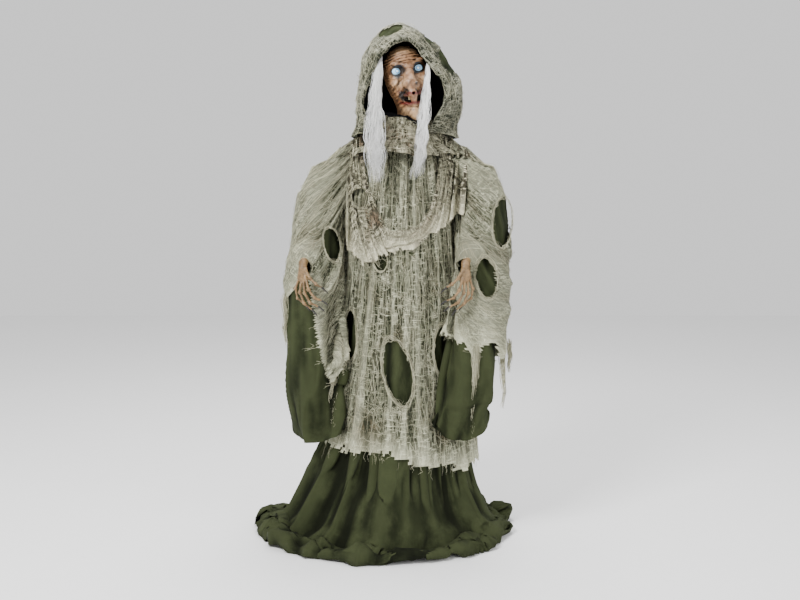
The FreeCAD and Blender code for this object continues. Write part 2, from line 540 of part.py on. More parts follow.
def make_neck_drive():
    """The plate on the neck post with its bush, the motor and the pair of gears that turn the head."""
    hub_height = "20"
    hub = cylinder(NECK_CUP, hub_height, ("0", "0", f"dims.neck_plate_z - {hub_height}"))
    plate = cylinder("dims.neck_plate_radius", "dims.neck_plate_thickness", ("0", "0", "dims.neck_plate_z"))
    bore = cylinder("dims.neck_post_radius + dims.slip_fit", hub_height,
                    ("0", "0", f"dims.neck_plate_z - {hub_height}"))
    through, below = "30", "dims.neck_plate_z - 10"
    hole = cylinder("dims.neck_bush_radius + dims.slip_fit", through, ("0", "0", below))
    motor_y, screws = motor_axis_y(), ("-dims.motor_screw_x", "dims.motor_screw_x")
    pilot = cylinder("2 * dims.motor_shaft_radius", through, ("0", motor_y, below))
    screw_holes = [cylinder("dims.clear_radius", through, (x, motor_y, below)) for x in screws]
    piece(cut(fuse(hub, plate), bore, hole, pilot, *screw_holes), "neck_plate")

    shell_foot = f"{NECK_TOP} - dims.neck_bush_length"
    bush = cylinder("dims.neck_bush_radius", "dims.neck_bush_length", ("0", "0", shell_foot))
    collar = cylinder("dims.neck_bush_flange_radius", str(FLANGE_HEIGHT), ("0", "0", NECK_TOP))
    run = cylinder("dims.neck_shaft_radius + dims.running_fit", "60", ("0", "0", f"{NECK_TOP} - 40"))
    piece(cut(fuse(bush, collar), run), "neck_bush")

    tap_depth, seat_depth = "7", "8"
    can = cylinder("dims.motor_radius", "dims.motor_length", ("0", motor_y, "dims.neck_plate_z - dims.motor_length"))
    seat = cylinder("dims.motor_shaft_radius + dims.running_fit", seat_depth,
                    ("0", motor_y, f"dims.neck_plate_z - {seat_depth}"))
    taps = [cylinder("dims.tap_radius", tap_depth, (x, motor_y, f"dims.neck_plate_z - {tap_depth}")) for x in screws]
    piece(cut(can, seat, *taps), "neck_motor")
    plate_top = size("neck_plate_z") + size("neck_plate_thickness")
    screw_seat, screw_x = Vector(0, gear_centres(), plate_top), Vector(size("motor_screw_x"), 0, 0)
    SCREWS.extend(machine_screw(screw_seat + screw_x * side, Vector(0, 0, 1)) for side in (-1, 1))

    piece(cylinder("dims.neck_shaft_radius", f"dims.neck_shaft_top_z - ({NECK_TOP}) + dims.neck_shaft_grip",
                   ("0", "0", f"{NECK_TOP} - dims.neck_shaft_grip")), "neck_shaft")
    width, boss_height = size("gear_width"), size("gear_boss_height")
    bore_radius = size("neck_shaft_radius") + 0.02
    gear = gear_shape(int(size("gear_teeth")), width, bore_radius)
    boss = Part.makeCylinder(size("gear_boss_radius"), boss_height, Vector(0, 0, width))
    gear = gear.fuse(boss.cut(Part.makeCylinder(bore_radius, width + boss_height))).removeSplitter()
    gear_z = plate_top + FLANGE_HEIGHT
    holder = piece(solid(gear, "gear"), "neck_gear")
    holder.Placement = Placement(Vector(0, 0, gear_z), Rotation(Vector(0, 0, 1), 90))

    shaft_radius, shaft_drop, face_gap = size("motor_shaft_radius"), 11, 0.5
    pinion = gear_shape(int(size("pinion_teeth")), width - 2 * face_gap, shaft_radius / 5)
    shaft = Part.makeCylinder(shaft_radius, width + shaft_drop - 1, Vector(0, 0, -shaft_drop))
    gap_angle = -90 + 180 / size("pinion_teeth")
    holder = piece(solid(pinion.fuse(shaft).removeSplitter(), "pinion"), "neck_pinion")
    holder.Placement = Placement(Vector(0, gear_centres(), gear_z + face_gap), Rotation(Vector(0, 0, 1), gap_angle))


def gear_centres():
    """Centre distance of the gear pair, a little more than the pitch radii for running clearance."""
    return size("gear_module") * (size("gear_teeth") + size("pinion_teeth")) / 2 + 0.2


def motor_axis_y():
    return "dims.gear_module * (dims.gear_teeth + dims.pinion_teeth) / 2 + 0.2"


# ---------------------------------------------------------------- lofted shells
FAR, FAR_ABOVE = 700, 2000  # past the figure's sides and past its top


def ellipse(z, cx, cy, rx, ry):
    """An elliptical wire whose seam always lies towards +X."""
    matrix = Matrix()
    matrix.scale(rx, ry, 1)
    matrix.move(Vector(cx, cy, z))
    circle = Part.Circle(Vector(), Vector(0, 0, 1), 1).toShape()
    return Part.Wire(circle.transformGeometry(matrix))


def sections_of(part, side=1):
    """The sections of a soft shell, read from the sheet; side mirrors their centres across X."""
    rows = []
    for name, *_ in SECTIONS[part]:
        z, cx, cy, rx, ry = (size(f"{part}_{name}_{value}") for value in SECTION_VALUES)
        rows.append((z, side * cx, cy, rx, ry))
    return rows


def loft(rows, grow=0.0, drop=0.0):
    return Part.makeLoft([ellipse(z - drop, cx, cy, rx + grow, ry + grow) for z, cx, cy, rx, ry in rows], True, True)


def shell(rows, wall, drop=0.0, grow=0.0, closed=False):
    """A loft through the sections, hollowed by wall and open below, and above too unless closed."""
    top, foot = rows[0], rows[-1]
    over = [(top[0] + drop + 5, *top[1:])] + rows + [(foot[0] - 5, *foot[1:])]
    room = loft(over, grow - wall, drop)
    if closed:
        room = keep_box(room, (-FAR, -FAR, -FAR), (FAR, FAR, top[0] - wall))
    return loft(rows, grow).cut(room)


def keep_box(shape, low, high):
    return shape.common(Part.makeBox(*(b - a for a, b in zip(low, high)), Vector(*low)))


def x_hole(radius, y, z, x_from, x_to):
    return Part.makeCylinder(radius, x_to - x_from, Vector(x_from, y, z), Vector(1, 0, 0))


def make_chest():
    """Two moulded half shells screwed to a rib on the pole."""
    wall, rib_z, thickness = size("chest_wall"), size("rib_z"), size("rib_thickness")
    rows = sections_of("chest")
    barrel = shell(rows, wall)
    barrel = barrel.cut(x_hole(size("bar_radius") + 3, 0, size("bar_z"), -FAR, FAR))
    screw_x, screw_z = size("chest_screw_x"), rib_z + thickness / 2
    rx, ry = size("chest_rib_rx"), size("chest_rib_ry")
    edge_y = ry * math.sqrt(1 - (screw_x / rx) ** 2) + 1.3
    holes = []
    for sx in (-1, 1):
        for sy in (-1, 1):
            out = Vector(0, sy, 0)
            seat = Vector(sx * screw_x, sy * edge_y, screw_z)
            hole_foot = seat - out * (size("screw_length") + 1)
            holes.append(Part.makeCylinder(size("clear_radius"), 24, hole_foot, out))
            SCREWS.append(machine_screw(seat, out))
    barrel = barrel.cut(holes)
    seam = 0.15
    piece(solid(keep_box(barrel, (-FAR, -FAR, 0), (FAR, -seam, FAR_ABOVE))), "chest_shell_front")
    piece(solid(keep_box(barrel, (-FAR, seam, 0), (FAR, FAR, FAR_ABOVE))), "chest_shell_back")

    rib = Part.Face(ellipse(rib_z, 0, 0, rx - wall - 1.5, ry - wall - 1.5)).extrude(Vector(0, 0, thickness))
    hub = Part.makeCylinder(size("socket_radius"), 30, Vector(0, 0, rib_z - 22))
    rib = rib.fuse(hub).removeSplitter()
    rib = rib.cut(Part.makeCylinder(size("pole_radius") + size("slip_fit"), 80, Vector(0, 0, rib_z - 40)))
    piece(solid(rib.cut(holes)), "chest_rib")


def make_machine_screws():
    """The cover's screws join those of the motor and the chest in one node."""
    back = size("box_front_y") + size("box_depth") + size("door_thickness")
    screw_z = size("box_bottom_z") + size("box_height") - size("cover_screw_drop")
    for side in (-1, 1):
        SCREWS.append(machine_screw(Vector(side * size("cover_screw_x"), back, screw_z), Vector(0, 1, 0)))
    piece(solid(Part.makeCompound(SCREWS)), "machine_screws")


def make_skirt_hoop():
    """A wire hoop on three spokes, which holds the robe out below the waist."""
    ring = doc.addObject("Part::Torus", "ring")
    bind(ring, Radius1="dims.hoop_radius", Radius2="dims.hoop_wire", Placement__Base__z="dims.hoop_z")
    hub = cylinder("dims.socket_radius", "24", ("0", "0", "dims.hoop_z - 12"))
    spokes = []
    for angle in (30, 150, 270):
        spoke = doc.addObject("Part::Cylinder", "spoke")
        spoke.Placement = Placement(Vector(), Rotation(Vector(0, 0, 1), angle) * AXES["X"])
        bind(spoke, Radius="dims.hoop_wire - 0.4", Height="dims.hoop_radius", Placement__Base__z="dims.hoop_z")
        spokes.append(spoke)
    bore = cylinder("dims.pole_radius + dims.slip_fit", "40", ("0", "0", "dims.hoop_z - 20"))
    piece(cut(fuse(hub, ring, *spokes), bore), "skirt_hoop")


# ---------------------------------------------------------------- garments on the stand
ARMHOLE = 30


def make_garments():
    """The green robe and the gauze layers over it, each a shell of the cloth's outer shape."""
    armholes = x_hole(ARMHOLE, 0, size("bar_z"), -FAR, FAR)
    robe = shell(sections_of("robe"), size("robe_wall"), size("train_drop")).cut(armholes)
    piece(solid(keep_box(robe, (-FAR, -FAR, 0), (FAR, FAR, FAR_ABOVE))), "robe")
    tunic = shell(sections_of("tunic"), size("tunic_wall")).cut(armholes)
    piece(solid(tunic), "gauze_tunic")

    cowl = shell(sections_of("cowl"), size("cowl_wall")).cut(armholes)
    side, drape_top = 172, size("cowl_armpit_z")
    upper = keep_box(cowl, (-FAR, -FAR, drape_top), (FAR, FAR, FAR_ABOVE))
    drape = keep_box(cowl, (-side, -FAR, 0), (side, 0, drape_top))
    piece(solid(upper.fuse(drape).removeSplitter()), "gauze_cowl")

    foot, height, low_radius, high_radius, wall = 1346, 84, 66, 60, 3
    collar = Part.makeCone(low_radius, high_radius, height, Vector(0, 0, foot))
    room = Part.makeCone(low_radius - wall, high_radius - wall, height, Vector(0, 0, foot))
    piece(solid(collar.cut(room)), "neck_cover")


# ---------------------------------------------------------------- arms and hands
SIDES = {"right": -1, "left": 1}


def tapered(start, end, start_radius, end_radius):
    """A round-ended taper between two points."""
    along = end - start
    if abs(start_radius - end_radius) < 1e-6:
        stem = Part.makeCylinder(start_radius, along.Length, start, along)
    else:
        stem = Part.makeCone(start_radius, end_radius, along.Length, start, along)
    return stem.fuse([Part.makeSphere(start_radius, start), Part.makeSphere(end_radius, end)])


def rod(start, end, radius, inner=0.0):
    """A straight tube or rod between two points."""
    along = end - start
    shape = Part.makeCylinder(radius, along.Length, start, along)
    return shape.cut(Part.makeCylinder(inner, along.Length, start, along)) if inner else shape


def arm_points(name):
    side = SIDES[name]
    shoulder = Vector(side * size("shoulder_x"), 0, size("bar_z"))
    elbow = Vector(side * size("elbow_x"), size("elbow_y"), size("elbow_z"))
    wrist = Vector(side * size(f"{name}_wrist_x"), size("wrist_y"), size("wrist_z"))
    return side, shoulder, elbow, wrist


def shoulder_pin(name):
    """A turned plug in the end of the shoulder bar, with the pin that the arm swings on, and its nut."""
    side, z = SIDES[name], size("bar_z")
    out = Vector(side, 0, 0)
    at = lambda x: Vector(side * x, 0, z)
    bar_end, plug_radius = size("bar_half"), size("bar_radius") - size("bar_wall") - size("slip_fit")
    plug_length, collar_radius, nut_radius, nut_height, wing_span = 36, 14, 9, 7, 34
    plug = Part.makeCylinder(plug_radius, plug_length, at(bar_end - plug_length), out)
    collar = Part.makeCylinder(collar_radius, size("hub_inner_x") - bar_end - 1, at(bar_end), out)
    pin = Part.makeCylinder(size("pin_radius"), size("pin_reach") - bar_end, at(bar_end), out)
    plug = plug.fuse([collar, pin]).removeSplitter()
    nut_foot = size("hub_outer_x") + 2.4
    nut = Part.makeCylinder(nut_radius, nut_height, at(nut_foot), out)
    wings = Part.makeBox(4, wing_span, 6, Vector(-2, -wing_span / 2, -3))
    wings.Placement = Placement(at(nut_foot + nut_height / 2), Rotation())
    nut = nut.fuse(wings).cut(Part.makeCylinder(size("pin_radius") + 0.02, 40, at(bar_end + 20), out))
    return plug, nut.removeSplitter()


def make_shoulder_pins():
    plugs, nuts = zip(*(shoulder_pin(name) for name in SIDES))
    piece(solid(Part.makeCompound(plugs)), "shoulder_pins")
    piece(solid(Part.makeCompound(nuts)), "wing_nuts")


def make_arm(name):
    side, shoulder, elbow, wrist = arm_points(name)
    upper = (elbow - shoulder).normalize()
    fore = (wrist - elbow).normalize()
    start, reach = size("socket_start"), size("arm_socket_length")
    fit = size("arm_tube_radius") + size("running_fit")
    socket, tube_radius = size("arm_socket_radius"), size("arm_tube_radius")
    out = Vector(side, 0, 0)
    hub_foot = Vector(side * size("hub_inner_x"), 0, size("bar_z"))
    hub_length = size("hub_outer_x") - size("hub_inner_x")
    hub = Part.makeCylinder(size("hub_radius"), hub_length, hub_foot, out)
    hub = hub.fuse(rod(shoulder, shoulder + upper * reach, socket))
    hub = hub.cut(Part.makeCylinder(size("pin_radius") + size("running_fit"), 80, hub_foot - out * 20, out))
    hub = hub.cut(rod(shoulder + upper * start, shoulder + upper * (reach + 5), fit))
    piece(solid(hub.removeSplitter()), f"{name}_arm_hub")

    inner = tube_radius - size("arm_tube_wall")
    tubes = [rod(shoulder + upper * (start + 0.2), elbow - upper * start, tube_radius, inner),
             rod(elbow + fore * start, wrist, tube_radius, inner)]
    piece(solid(Part.makeCompound(tubes)), f"{name}_arm_tubes")
    joint = Part.makeSphere(size("elbow_radius"), elbow)
    joint = joint.fuse([rod(elbow, elbow - upper * reach, socket), rod(elbow, elbow + fore * reach, socket)])
    for along in (-upper, fore):
        joint = joint.cut(rod(elbow + along * (start - 0.5), elbow + along * (reach + 5), fit))
    piece(solid(joint.removeSplitter()), f"{name}_elbow")


# Finger joints from the wrist: inward, forward and down, with the radius at each.
FINGER_GAP = 15


def hand_points(name, wrist):
    """Maps inward, forward and down distances from the wrist to a point."""
    side = SIDES[name]
    return lambda inward, forward, down: wrist + Vector(-side * inward, -forward, -down)


def fingers_of(at):
    """Joint chains of the thumb and four fingers."""
    chains = [[(at(8, 26, 22), 8.5), (at(26, 36, 40), 7), (at(42, 34, 54), 5)]]
    for k in range(4):
        forward, shorter = 34 - FINGER_GAP * k, 7 * abs(k - 1.3)
        chains.append([(at(6, forward, 62), 8), (at(-4, forward + 4, 98 - shorter), 6.5),
                       (at(14, forward + 5, 126 - shorter), 6), (at(36, forward + 3, 142 - shorter), 4.5)])
    return chains


def make_hand(name):
    """A moulded hand with a cuff that turns on the end of the forearm tube, and its claws."""
    _, _, elbow, wrist = arm_points(name)
    fore = (wrist - elbow).normalize()
    at = hand_points(name, wrist)
    cuff = rod(wrist - fore * size("cuff_depth"), wrist + fore * 8, size("cuff_radius"))
    palm = tapered(at(2, 10, 6), at(4, 22, 52), 17, 15)
    heel = tapered(at(3, 2, 12), at(4, -4, 50), 14, 12)
    parts, claws = [palm, heel], []
    claw_radius, claw_tip_radius, claw_length = 2.6, 0.6, 14
    for chain in fingers_of(at):
        for (start, start_radius), (end, end_radius) in zip(chain, chain[1:]):
            parts.append(tapered(start, end, start_radius, end_radius))
        (before, _), (tip, tip_radius) = chain[-2:]
        along = (tip - before).normalize()
        foot = tip + along * (tip_radius + 0.1)
        claws.append(Part.makeCone(claw_radius, claw_tip_radius, claw_length, foot, along))
    hand = cuff.fuse(parts)
    hand = hand.cut(rod(wrist - fore * (size("cuff_depth") + 5), wrist + fore * 0.5,
                        size("arm_tube_radius") + size("running_fit")))
    piece(solid(hand.removeSplitter()), f"{name}_hand")
    piece(solid(Part.makeCompound(claws)), f"{name}_claws")


def make_sleeves(name):
    """The green bell sleeve and the gauze layer over it, open below and slit in front for the hand."""
    side, _, _, wrist = arm_points(name)
    rows = sections_of(f"{name}_sleeve", side)
    wall = size("sleeve_wall")
    hub_room = size("hub_radius") + 8
    hub = x_hole(hub_room, 0, size("bar_z"), *sorted((side * size("bar_half"), side * (size("hub_outer_x") + 3))))
    slit_width, slit_depth, slit_height, slit_rise = 104, 200, 205, 37
    foot = Vector(wrist.x - slit_width / 2, wrist.y - 110, wrist.z + slit_rise - slit_height)
    slit = Part.makeBox(slit_width, slit_depth, slit_height, foot)
    inner = shell(rows, wall, closed=True).cut(hub).cut(slit)
    piece(solid(inner), f"{name}_robe_sleeve")
    grow = wall + size("sleeve_layer_gap")
    outer = shell(rows, wall, grow=grow).cut(hub).cut(slit)
    ragged_end = 590
    piece(solid(keep_box(outer, (-FAR, -FAR, ragged_end), (FAR, FAR, FAR_ABOVE))), f"{name}_gauze_sleeve")


# ---------------------------------------------------------------- head
def spheroid(x, y, z, radius, half_height):
    """An egg shape about a vertical axis; half_height is at least radius."""
    if half_height - radius < 1e-6:
        return Part.makeSphere(radius, Vector(x, y, z))
    arc = Part.Ellipse(Vector(), half_height, radius).toShape(0, math.pi)
    axis_line = Part.makeLine(Vector(-half_height, 0, 0), Vector(half_height, 0, 0))
    half = Part.Face(Part.Wire([arc, axis_line]))
    half.rotate(Vector(), Vector(0, 1, 0), -90)
    body = half.revolve(Vector(), Vector(0, 0, 1), 360)
    body.translate(Vector(x, y, z))
    return body


def egg_loft(radius, half_height):
    """An egg shape about the Z axis lofted through rings, with a small flat at its top and foot."""
    rings = []
    for degrees in range(-78, 79, 13):
        angle = math.radians(degrees)
        across = radius * math.cos(angle)
        rings.append((half_height * math.sin(angle), 0, 0, across, across))
    return loft(rings[::-1])


def head_pose():
    """The rest attitude of the head on its shaft: tilted sideways and turned a little to its left."""
    centre = Vector(size("head_x"), size("head_y"), size("head_z"))
    tilt = Rotation(Vector(0, 1, 0), -size("head_tilt_deg"))
    turn = Rotation(Vector(0, 0, 1), size("head_yaw_deg"))
    return Placement(centre, turn * tilt)


def posed(shape, label):
    """A piece drawn in the head's own frame and set in the head's pose."""
    obj = piece(solid(shape), label)
    obj.Placement = head_pose()
    return obj


def in_head_frame(shape):
    """A shape placed in the figure's frame, seen from the head's own frame."""
    shape.Placement = head_pose().inverse() * shape.Placement
    return shape


def make_head():
    """The hollow head, in its own frame about its centre and then set in its pose."""
    radius, tall, wall = size("head_radius"), size("head_half_height"), size("mask_wall")
    split = size("mask_split_y")
    skin = spheroid(0, 0, 0, radius, tall)
    cavity = spheroid(0, 0, 0, radius - wall, tall - wall)
    chin = spheroid(0, -50, 8 - size("chin_drop"), 31, 31)
    jaw = spheroid(0, -27, -62, 52, 60)
    nose = tapered(Vector(0, -74, 18), Vector(0, -74 - size("nose_length") * 0.6, 4 - size("nose_length")),
                   size("nose_root_radius"), size("nose_tip_radius"))
    holes, cups = [], []
    for side in (-1, 1):
        foot = Vector(side * size("eye_gap"), -30, size("eye_above"))
        holes.append(Part.makeCylinder(size("eye_radius") + 0.1, 80, foot, Vector(0, -1, 0)))
        cups.append(Part.makeCylinder(size("eye_radius") + 3, 28, foot, Vector(0, -1, 0)))
    mouth = Part.makeBox(size("mouth_width"), 60, size("mouth_height"),
                         Vector(-size("mouth_width") / 2, -60 - size("mouth_back"), size("mouth_z")))
    face = skin.fuse([jaw, chin]).cut(mouth).fuse(nose).cut(cavity).fuse(cups).cut(holes)
    face = keep_box(face, (-FAR, -FAR, -FAR), (FAR, split, FAR))
    posed(face.removeSplitter(), "face_mask")

    shaft_top = size("neck_shaft_top_z")
    neck_hole = in_head_frame(Part.makeCylinder(size("neck_hole_radius"), shaft_top - 1400, Vector(0, 0, 1400)))
    skull = egg_loft(radius, tall).cut(egg_loft(radius - wall, tall - wall))
    back = keep_box(skull, (-FAR, split + 0.3, -FAR), (FAR, FAR, FAR))
    posed(back.cut(neck_hole), "skull_back")

    eyes, lamps = [], []
    lamp_radius, lamp_length, lamp_depth = size("lamp_radius"), size("lamp_length"), 8
    for side in (-1, 1):
        centre = Vector(side * size("eye_gap"), -size("eye_forward"), size("eye_above"))
        back = Vector(0, 1, 0)
        lamp_room = Part.makeCylinder(lamp_radius + 0.1, 30, centre + back * lamp_depth, back)
        eyes.append(Part.makeSphere(size("eye_radius"), centre).cut(lamp_room))
        lens_foot = centre + back * (lamp_depth + 0.2)
        lens = Part.makeCylinder(lamp_radius, lamp_length, lens_foot, back)
        rim = Part.makeCylinder(lamp_radius + 0.8, 1.5, lens_foot + back * lamp_length, back)
        lamps.append(lens.fuse(rim).removeSplitter())
    posed(Part.makeCompound(eyes), "eyes")
    posed(Part.makeCompound(lamps), "eye_lamps")

    teeth = []
    lower, upper, front = size("mouth_z"), size("mouth_z") + size("mouth_height"), -size("mouth_back") - 3.5
    for x, foot_z, up in ((-17, upper, -1), (-9, upper, -1), (14, upper, -1), (-13, lower, 1), (8, lower, 1)):
        teeth.append(Part.makeCone(size("tooth_radius"), size("tooth_tip_radius"), size("tooth_length"),
                                   Vector(x, front, foot_z), Vector(0, 0, up)))
    posed(Part.makeCompound(teeth), "teeth")

    disc_thickness, stem_length = size("mount_disc_thickness"), size("mount_stem_length")
    disc_foot = shaft_top - 6 - disc_thickness
    disc = Part.makeCylinder(radius, disc_thickness, Vector(0, 0, disc_foot))
    room = spheroid(0, 0, 0, radius - wall - 1.5, tall - wall - 1.5)
    room.Placement = head_pose()
    disc = disc.common(room)
    stem_foot = shaft_top - 6 - stem_length
    stem = Part.makeCylinder(size("mount_stem_radius"), stem_length, Vector(0, 0, stem_foot))
    bore = Part.makeCylinder(size("neck_shaft_radius") + 0.02, 2 * stem_length, Vector(0, 0, stem_foot - 10))
    piece(solid(disc.fuse(stem).cut(bore).removeSplitter()), "head_mount")


def make_hair():
    """Two bundles of straight hair that hang in front of the shoulders."""
    bundles = [loft(sections_of(f"{name}_hair")) for name in SIDES]
    piece(solid(Part.makeCompound(bundles)), "hair")


def make_hood():
    """The gauze hood with its dark lining, open in front and below."""
    x, y, z = size("hood_x"), size("hood_y"), size("hood_z")
    radius, tall = size("hood_radius"), size("hood_half_height")
    opening = oval_prism(size("hood_opening_rx"), size("hood_opening_rz"), size("hood_opening_z"))

    def layer(outside, inside):
        outer = spheroid(x, y, z, radius - outside, tall - outside)
        cloth = outer.cut(spheroid(x, y, z, radius - inside, tall - inside)).cut(opening)
        return keep_box(cloth, (-FAR, -FAR, size("hood_hem_z")), (FAR, FAR, FAR_ABOVE))

    wall, gap = size("hood_wall"), 0.5
    piece(solid(layer(0, wall)), "gauze_hood")
    piece(solid(layer(wall + gap, wall + gap + size("lining_wall"))), "hood_lining")


def oval_prism(half_width, half_height, z):
    """An upright oval cylinder along Y in front of the head."""
    rim = Part.Ellipse(Vector(), half_height, half_width).toShape()
    face = Part.Face(Part.Wire(rim))
    face.rotate(Vector(), Vector(1, 0, 0), 90)
    face.rotate(Vector(), Vector(0, 1, 0), 90)
    face.translate(Vector(0, 0, z))
    return face.extrude(Vector(0, -FAR, 0))


# ---------------------------------------------------------------- build, check, write
def write_parts():
    doc.recompute()
    for obj in doc.Objects:
        if "Invalid" in obj.State or "Error" in obj.State:
            raise RuntimeError(f"{obj.Name} ({obj.Label}) did not build: {obj.State}")
    os.makedirs("parts", exist_ok=True)
    for obj in PIECES:
        shape = obj.Shape
        if shape.isNull() or not shape.isValid() or not shape.Solids or shape.Volume <= 0:
            raise RuntimeError(f"{obj.Label} is not a valid solid")
        if len(shape.Solids) == 1:
            shape = shape.Solids[0]
        shape.exportStep(os.path.join("parts", obj.Label + ".step"))
        print(f"{obj.Label}: {len(obj.Shape.Solids)} solid, {obj.Shape.Volume / 1000:.1f} cm3")


make_poles(make_base())
make_socket_bolts()
make_control_box()
make_box_cover()
make_box_inside()
make_battery_door()
make_mode_switch()
make_shoulder_frame()
make_neck_drive()
make_chest()
make_machine_screws()
make_skirt_hoop()
make_garments()
make_shoulder_pins()
for side_name in SIDES:
    make_arm(side_name)
    make_hand(side_name)
    make_sleeves(side_name)
make_head()
make_hair()
make_hood()
write_parts()
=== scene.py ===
"""Looks of the standing witch figure. The robe, tunic, cowl and sleeves are hung by a simulation; the hood,
collar and neck cloth are shaped by formula; the mask and hands are sculpted."""

import json
import math

import bpy
import numpy as np
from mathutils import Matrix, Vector


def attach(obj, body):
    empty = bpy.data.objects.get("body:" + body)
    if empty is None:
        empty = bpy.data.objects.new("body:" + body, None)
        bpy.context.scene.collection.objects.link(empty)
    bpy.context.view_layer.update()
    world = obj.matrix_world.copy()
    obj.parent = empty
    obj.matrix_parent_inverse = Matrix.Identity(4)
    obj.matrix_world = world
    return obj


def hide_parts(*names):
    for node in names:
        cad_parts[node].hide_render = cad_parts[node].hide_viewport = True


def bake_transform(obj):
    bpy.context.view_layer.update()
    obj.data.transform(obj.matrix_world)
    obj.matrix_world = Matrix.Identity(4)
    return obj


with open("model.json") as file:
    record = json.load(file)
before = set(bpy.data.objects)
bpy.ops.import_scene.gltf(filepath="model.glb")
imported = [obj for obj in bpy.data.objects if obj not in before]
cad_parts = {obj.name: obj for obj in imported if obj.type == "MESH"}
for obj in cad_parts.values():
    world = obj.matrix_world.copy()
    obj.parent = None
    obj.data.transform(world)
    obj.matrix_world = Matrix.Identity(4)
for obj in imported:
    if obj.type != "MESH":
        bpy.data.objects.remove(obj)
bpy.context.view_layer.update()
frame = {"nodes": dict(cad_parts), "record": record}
TAU = 2 * math.pi
GRAVITY = 9.81
RUBBED_SPEED = 0.6  # share of its speed that cloth keeps on each step that it touches something
RICH = 1.0  # share of the loose yarns that are made
YARN_RADIUS, RIM_RADIUS, HAIR_RADIUS, CLAW_RADIUS = 0.00040, 0.00055, 0.00065, 0.0032


# ---------------------------------------------------------------- numbers and noise
def lattice(ix, iy, iz, seed):
    """Repeatable values in -1..1 at whole-number points."""
    h = (ix * 73856093) ^ (iy * 19349663) ^ (iz * 83492791) ^ (seed * 1540483477)
    h = (h & 0xFFFFFFFF) * 2246822519 & 0xFFFFFFFF
    h ^= h >> 15
    h = h * 3266489917 & 0xFFFFFFFF
    h ^= h >> 13
    return h / 2147483648.0 - 1.0


def noise(points, scale=1.0, seed=0):
    """Smooth noise in -1..1 at an array of points."""
    p = np.asarray(points, float) * scale
    if p.shape[-1] == 2:
        p = np.concatenate([p, np.zeros(p.shape[:-1] + (1,))], -1)
    base = np.floor(p).astype(np.int64)
    f = p - base
    f = f * f * (3 - 2 * f)
    total = 0.0
    for dx in (0, 1):
        wx = f[..., 0] if dx else 1 - f[..., 0]
        for dy in (0, 1):
            wy = f[..., 1] if dy else 1 - f[..., 1]
            for dz in (0, 1):
                wz = f[..., 2] if dz else 1 - f[..., 2]
                value = lattice(base[..., 0] + dx, base[..., 1] + dy, base[..., 2] + dz, seed)
                total = total + wx * wy * wz * value
    return total


def smooth(low, high, x):
    t = np.clip((x - low) / (high - low), 0, 1)
    return t * t * (3 - 2 * t)


def table(z, rows):
    """Linear interpolation down a table whose first column is the height, highest first."""
    rows = np.array(rows, float)[::-1]
    return [np.interp(z, rows[:, 0], rows[:, k]) for k in range(1, rows.shape[1])]


def normalised(v):
    return v / np.maximum(np.linalg.norm(v, axis=-1, keepdims=True), 1e-12)


# ---------------------------------------------------------------- meshes
def make_mesh(name, verts, faces, uvs=None, colours=None):
    """A smooth mesh from arrays; uvs holds one pair for each face corner, colours one value per vertex."""
    verts = np.asarray(verts, np.float32).reshape(-1, 3)
    faces = [np.asarray(f, np.int32) for f in (faces if isinstance(faces, list) else [faces])]
    faces = [f for f in faces if len(f)]
    mesh = bpy.data.meshes.new(name)
    mesh.vertices.add(len(verts))
    mesh.vertices.foreach_set("co", verts.ravel())
    sizes = np.concatenate([np.full(len(f), f.shape[1]) for f in faces])
    corners = np.concatenate([f.ravel() for f in faces])
    mesh.loops.add(len(corners))
    mesh.loops.foreach_set("vertex_index", corners)
    mesh.polygons.add(len(sizes))
    mesh.polygons.foreach_set("loop_start", np.concatenate([[0], np.cumsum(sizes)[:-1]]).astype(np.int32))
    mesh.polygons.foreach_set("use_smooth", np.ones(len(sizes), bool))
    if uvs is not None:
        layer = mesh.uv_layers.new(name="weave")
        layer.data.foreach_set("uv", np.asarray(uvs, np.float32).ravel())
    for key, values in (colours or {}).items():
        attribute = mesh.attributes.new(key, "FLOAT", "POINT")
        attribute.data.foreach_set("value", np.asarray(values, np.float32).ravel())
    mesh.update()
    mesh.validate()
    obj = bpy.data.objects.new(name, mesh)
    bpy.context.scene.collection.objects.link(obj)
    return obj


def grid_quads(rows, cols, loop):
    i, j = np.meshgrid(np.arange(rows - 1), np.arange(cols if loop else cols - 1), indexing="ij")
    k = (j + 1) % cols
    return np.stack([i * cols + j, i * cols + k, (i + 1) * cols + k, (i + 1) * cols + j], -1).reshape(-1,
            4), i.ravel(), j.ravel()


def grid_object(name, points, width, length, loop=True, keep=None, flip=False, colours=None):
    """Cloth from a grid of points; keep is a mask of the quads that stay."""
    rows, cols = points.shape[:2]
    quads, i, j = grid_quads(rows, cols, loop)
    across = width / (cols if loop else cols - 1)
    down = length / (rows - 1)
    uv = np.stack([np.stack([(j + a) * across, -(i + b) * down], -1) for a,
                   b in ((0, 0), (1, 0), (1, 1), (0, 1))], 1)
    if keep is not None:
        quads, uv = quads[keep.ravel()], uv[keep.ravel()]
    if flip:
        quads, uv = quads[:, ::-1], uv[:, ::-1]
    used, quads = np.unique(quads, return_inverse=True)
    quads = quads.reshape(-1, 4)
    picked = {k: np.asarray(v).ravel()[used] for k, v in (colours or {}).items()}
    return make_mesh(name, points.reshape(-1, 3)[used], quads, uv.reshape(-1, 2), picked)


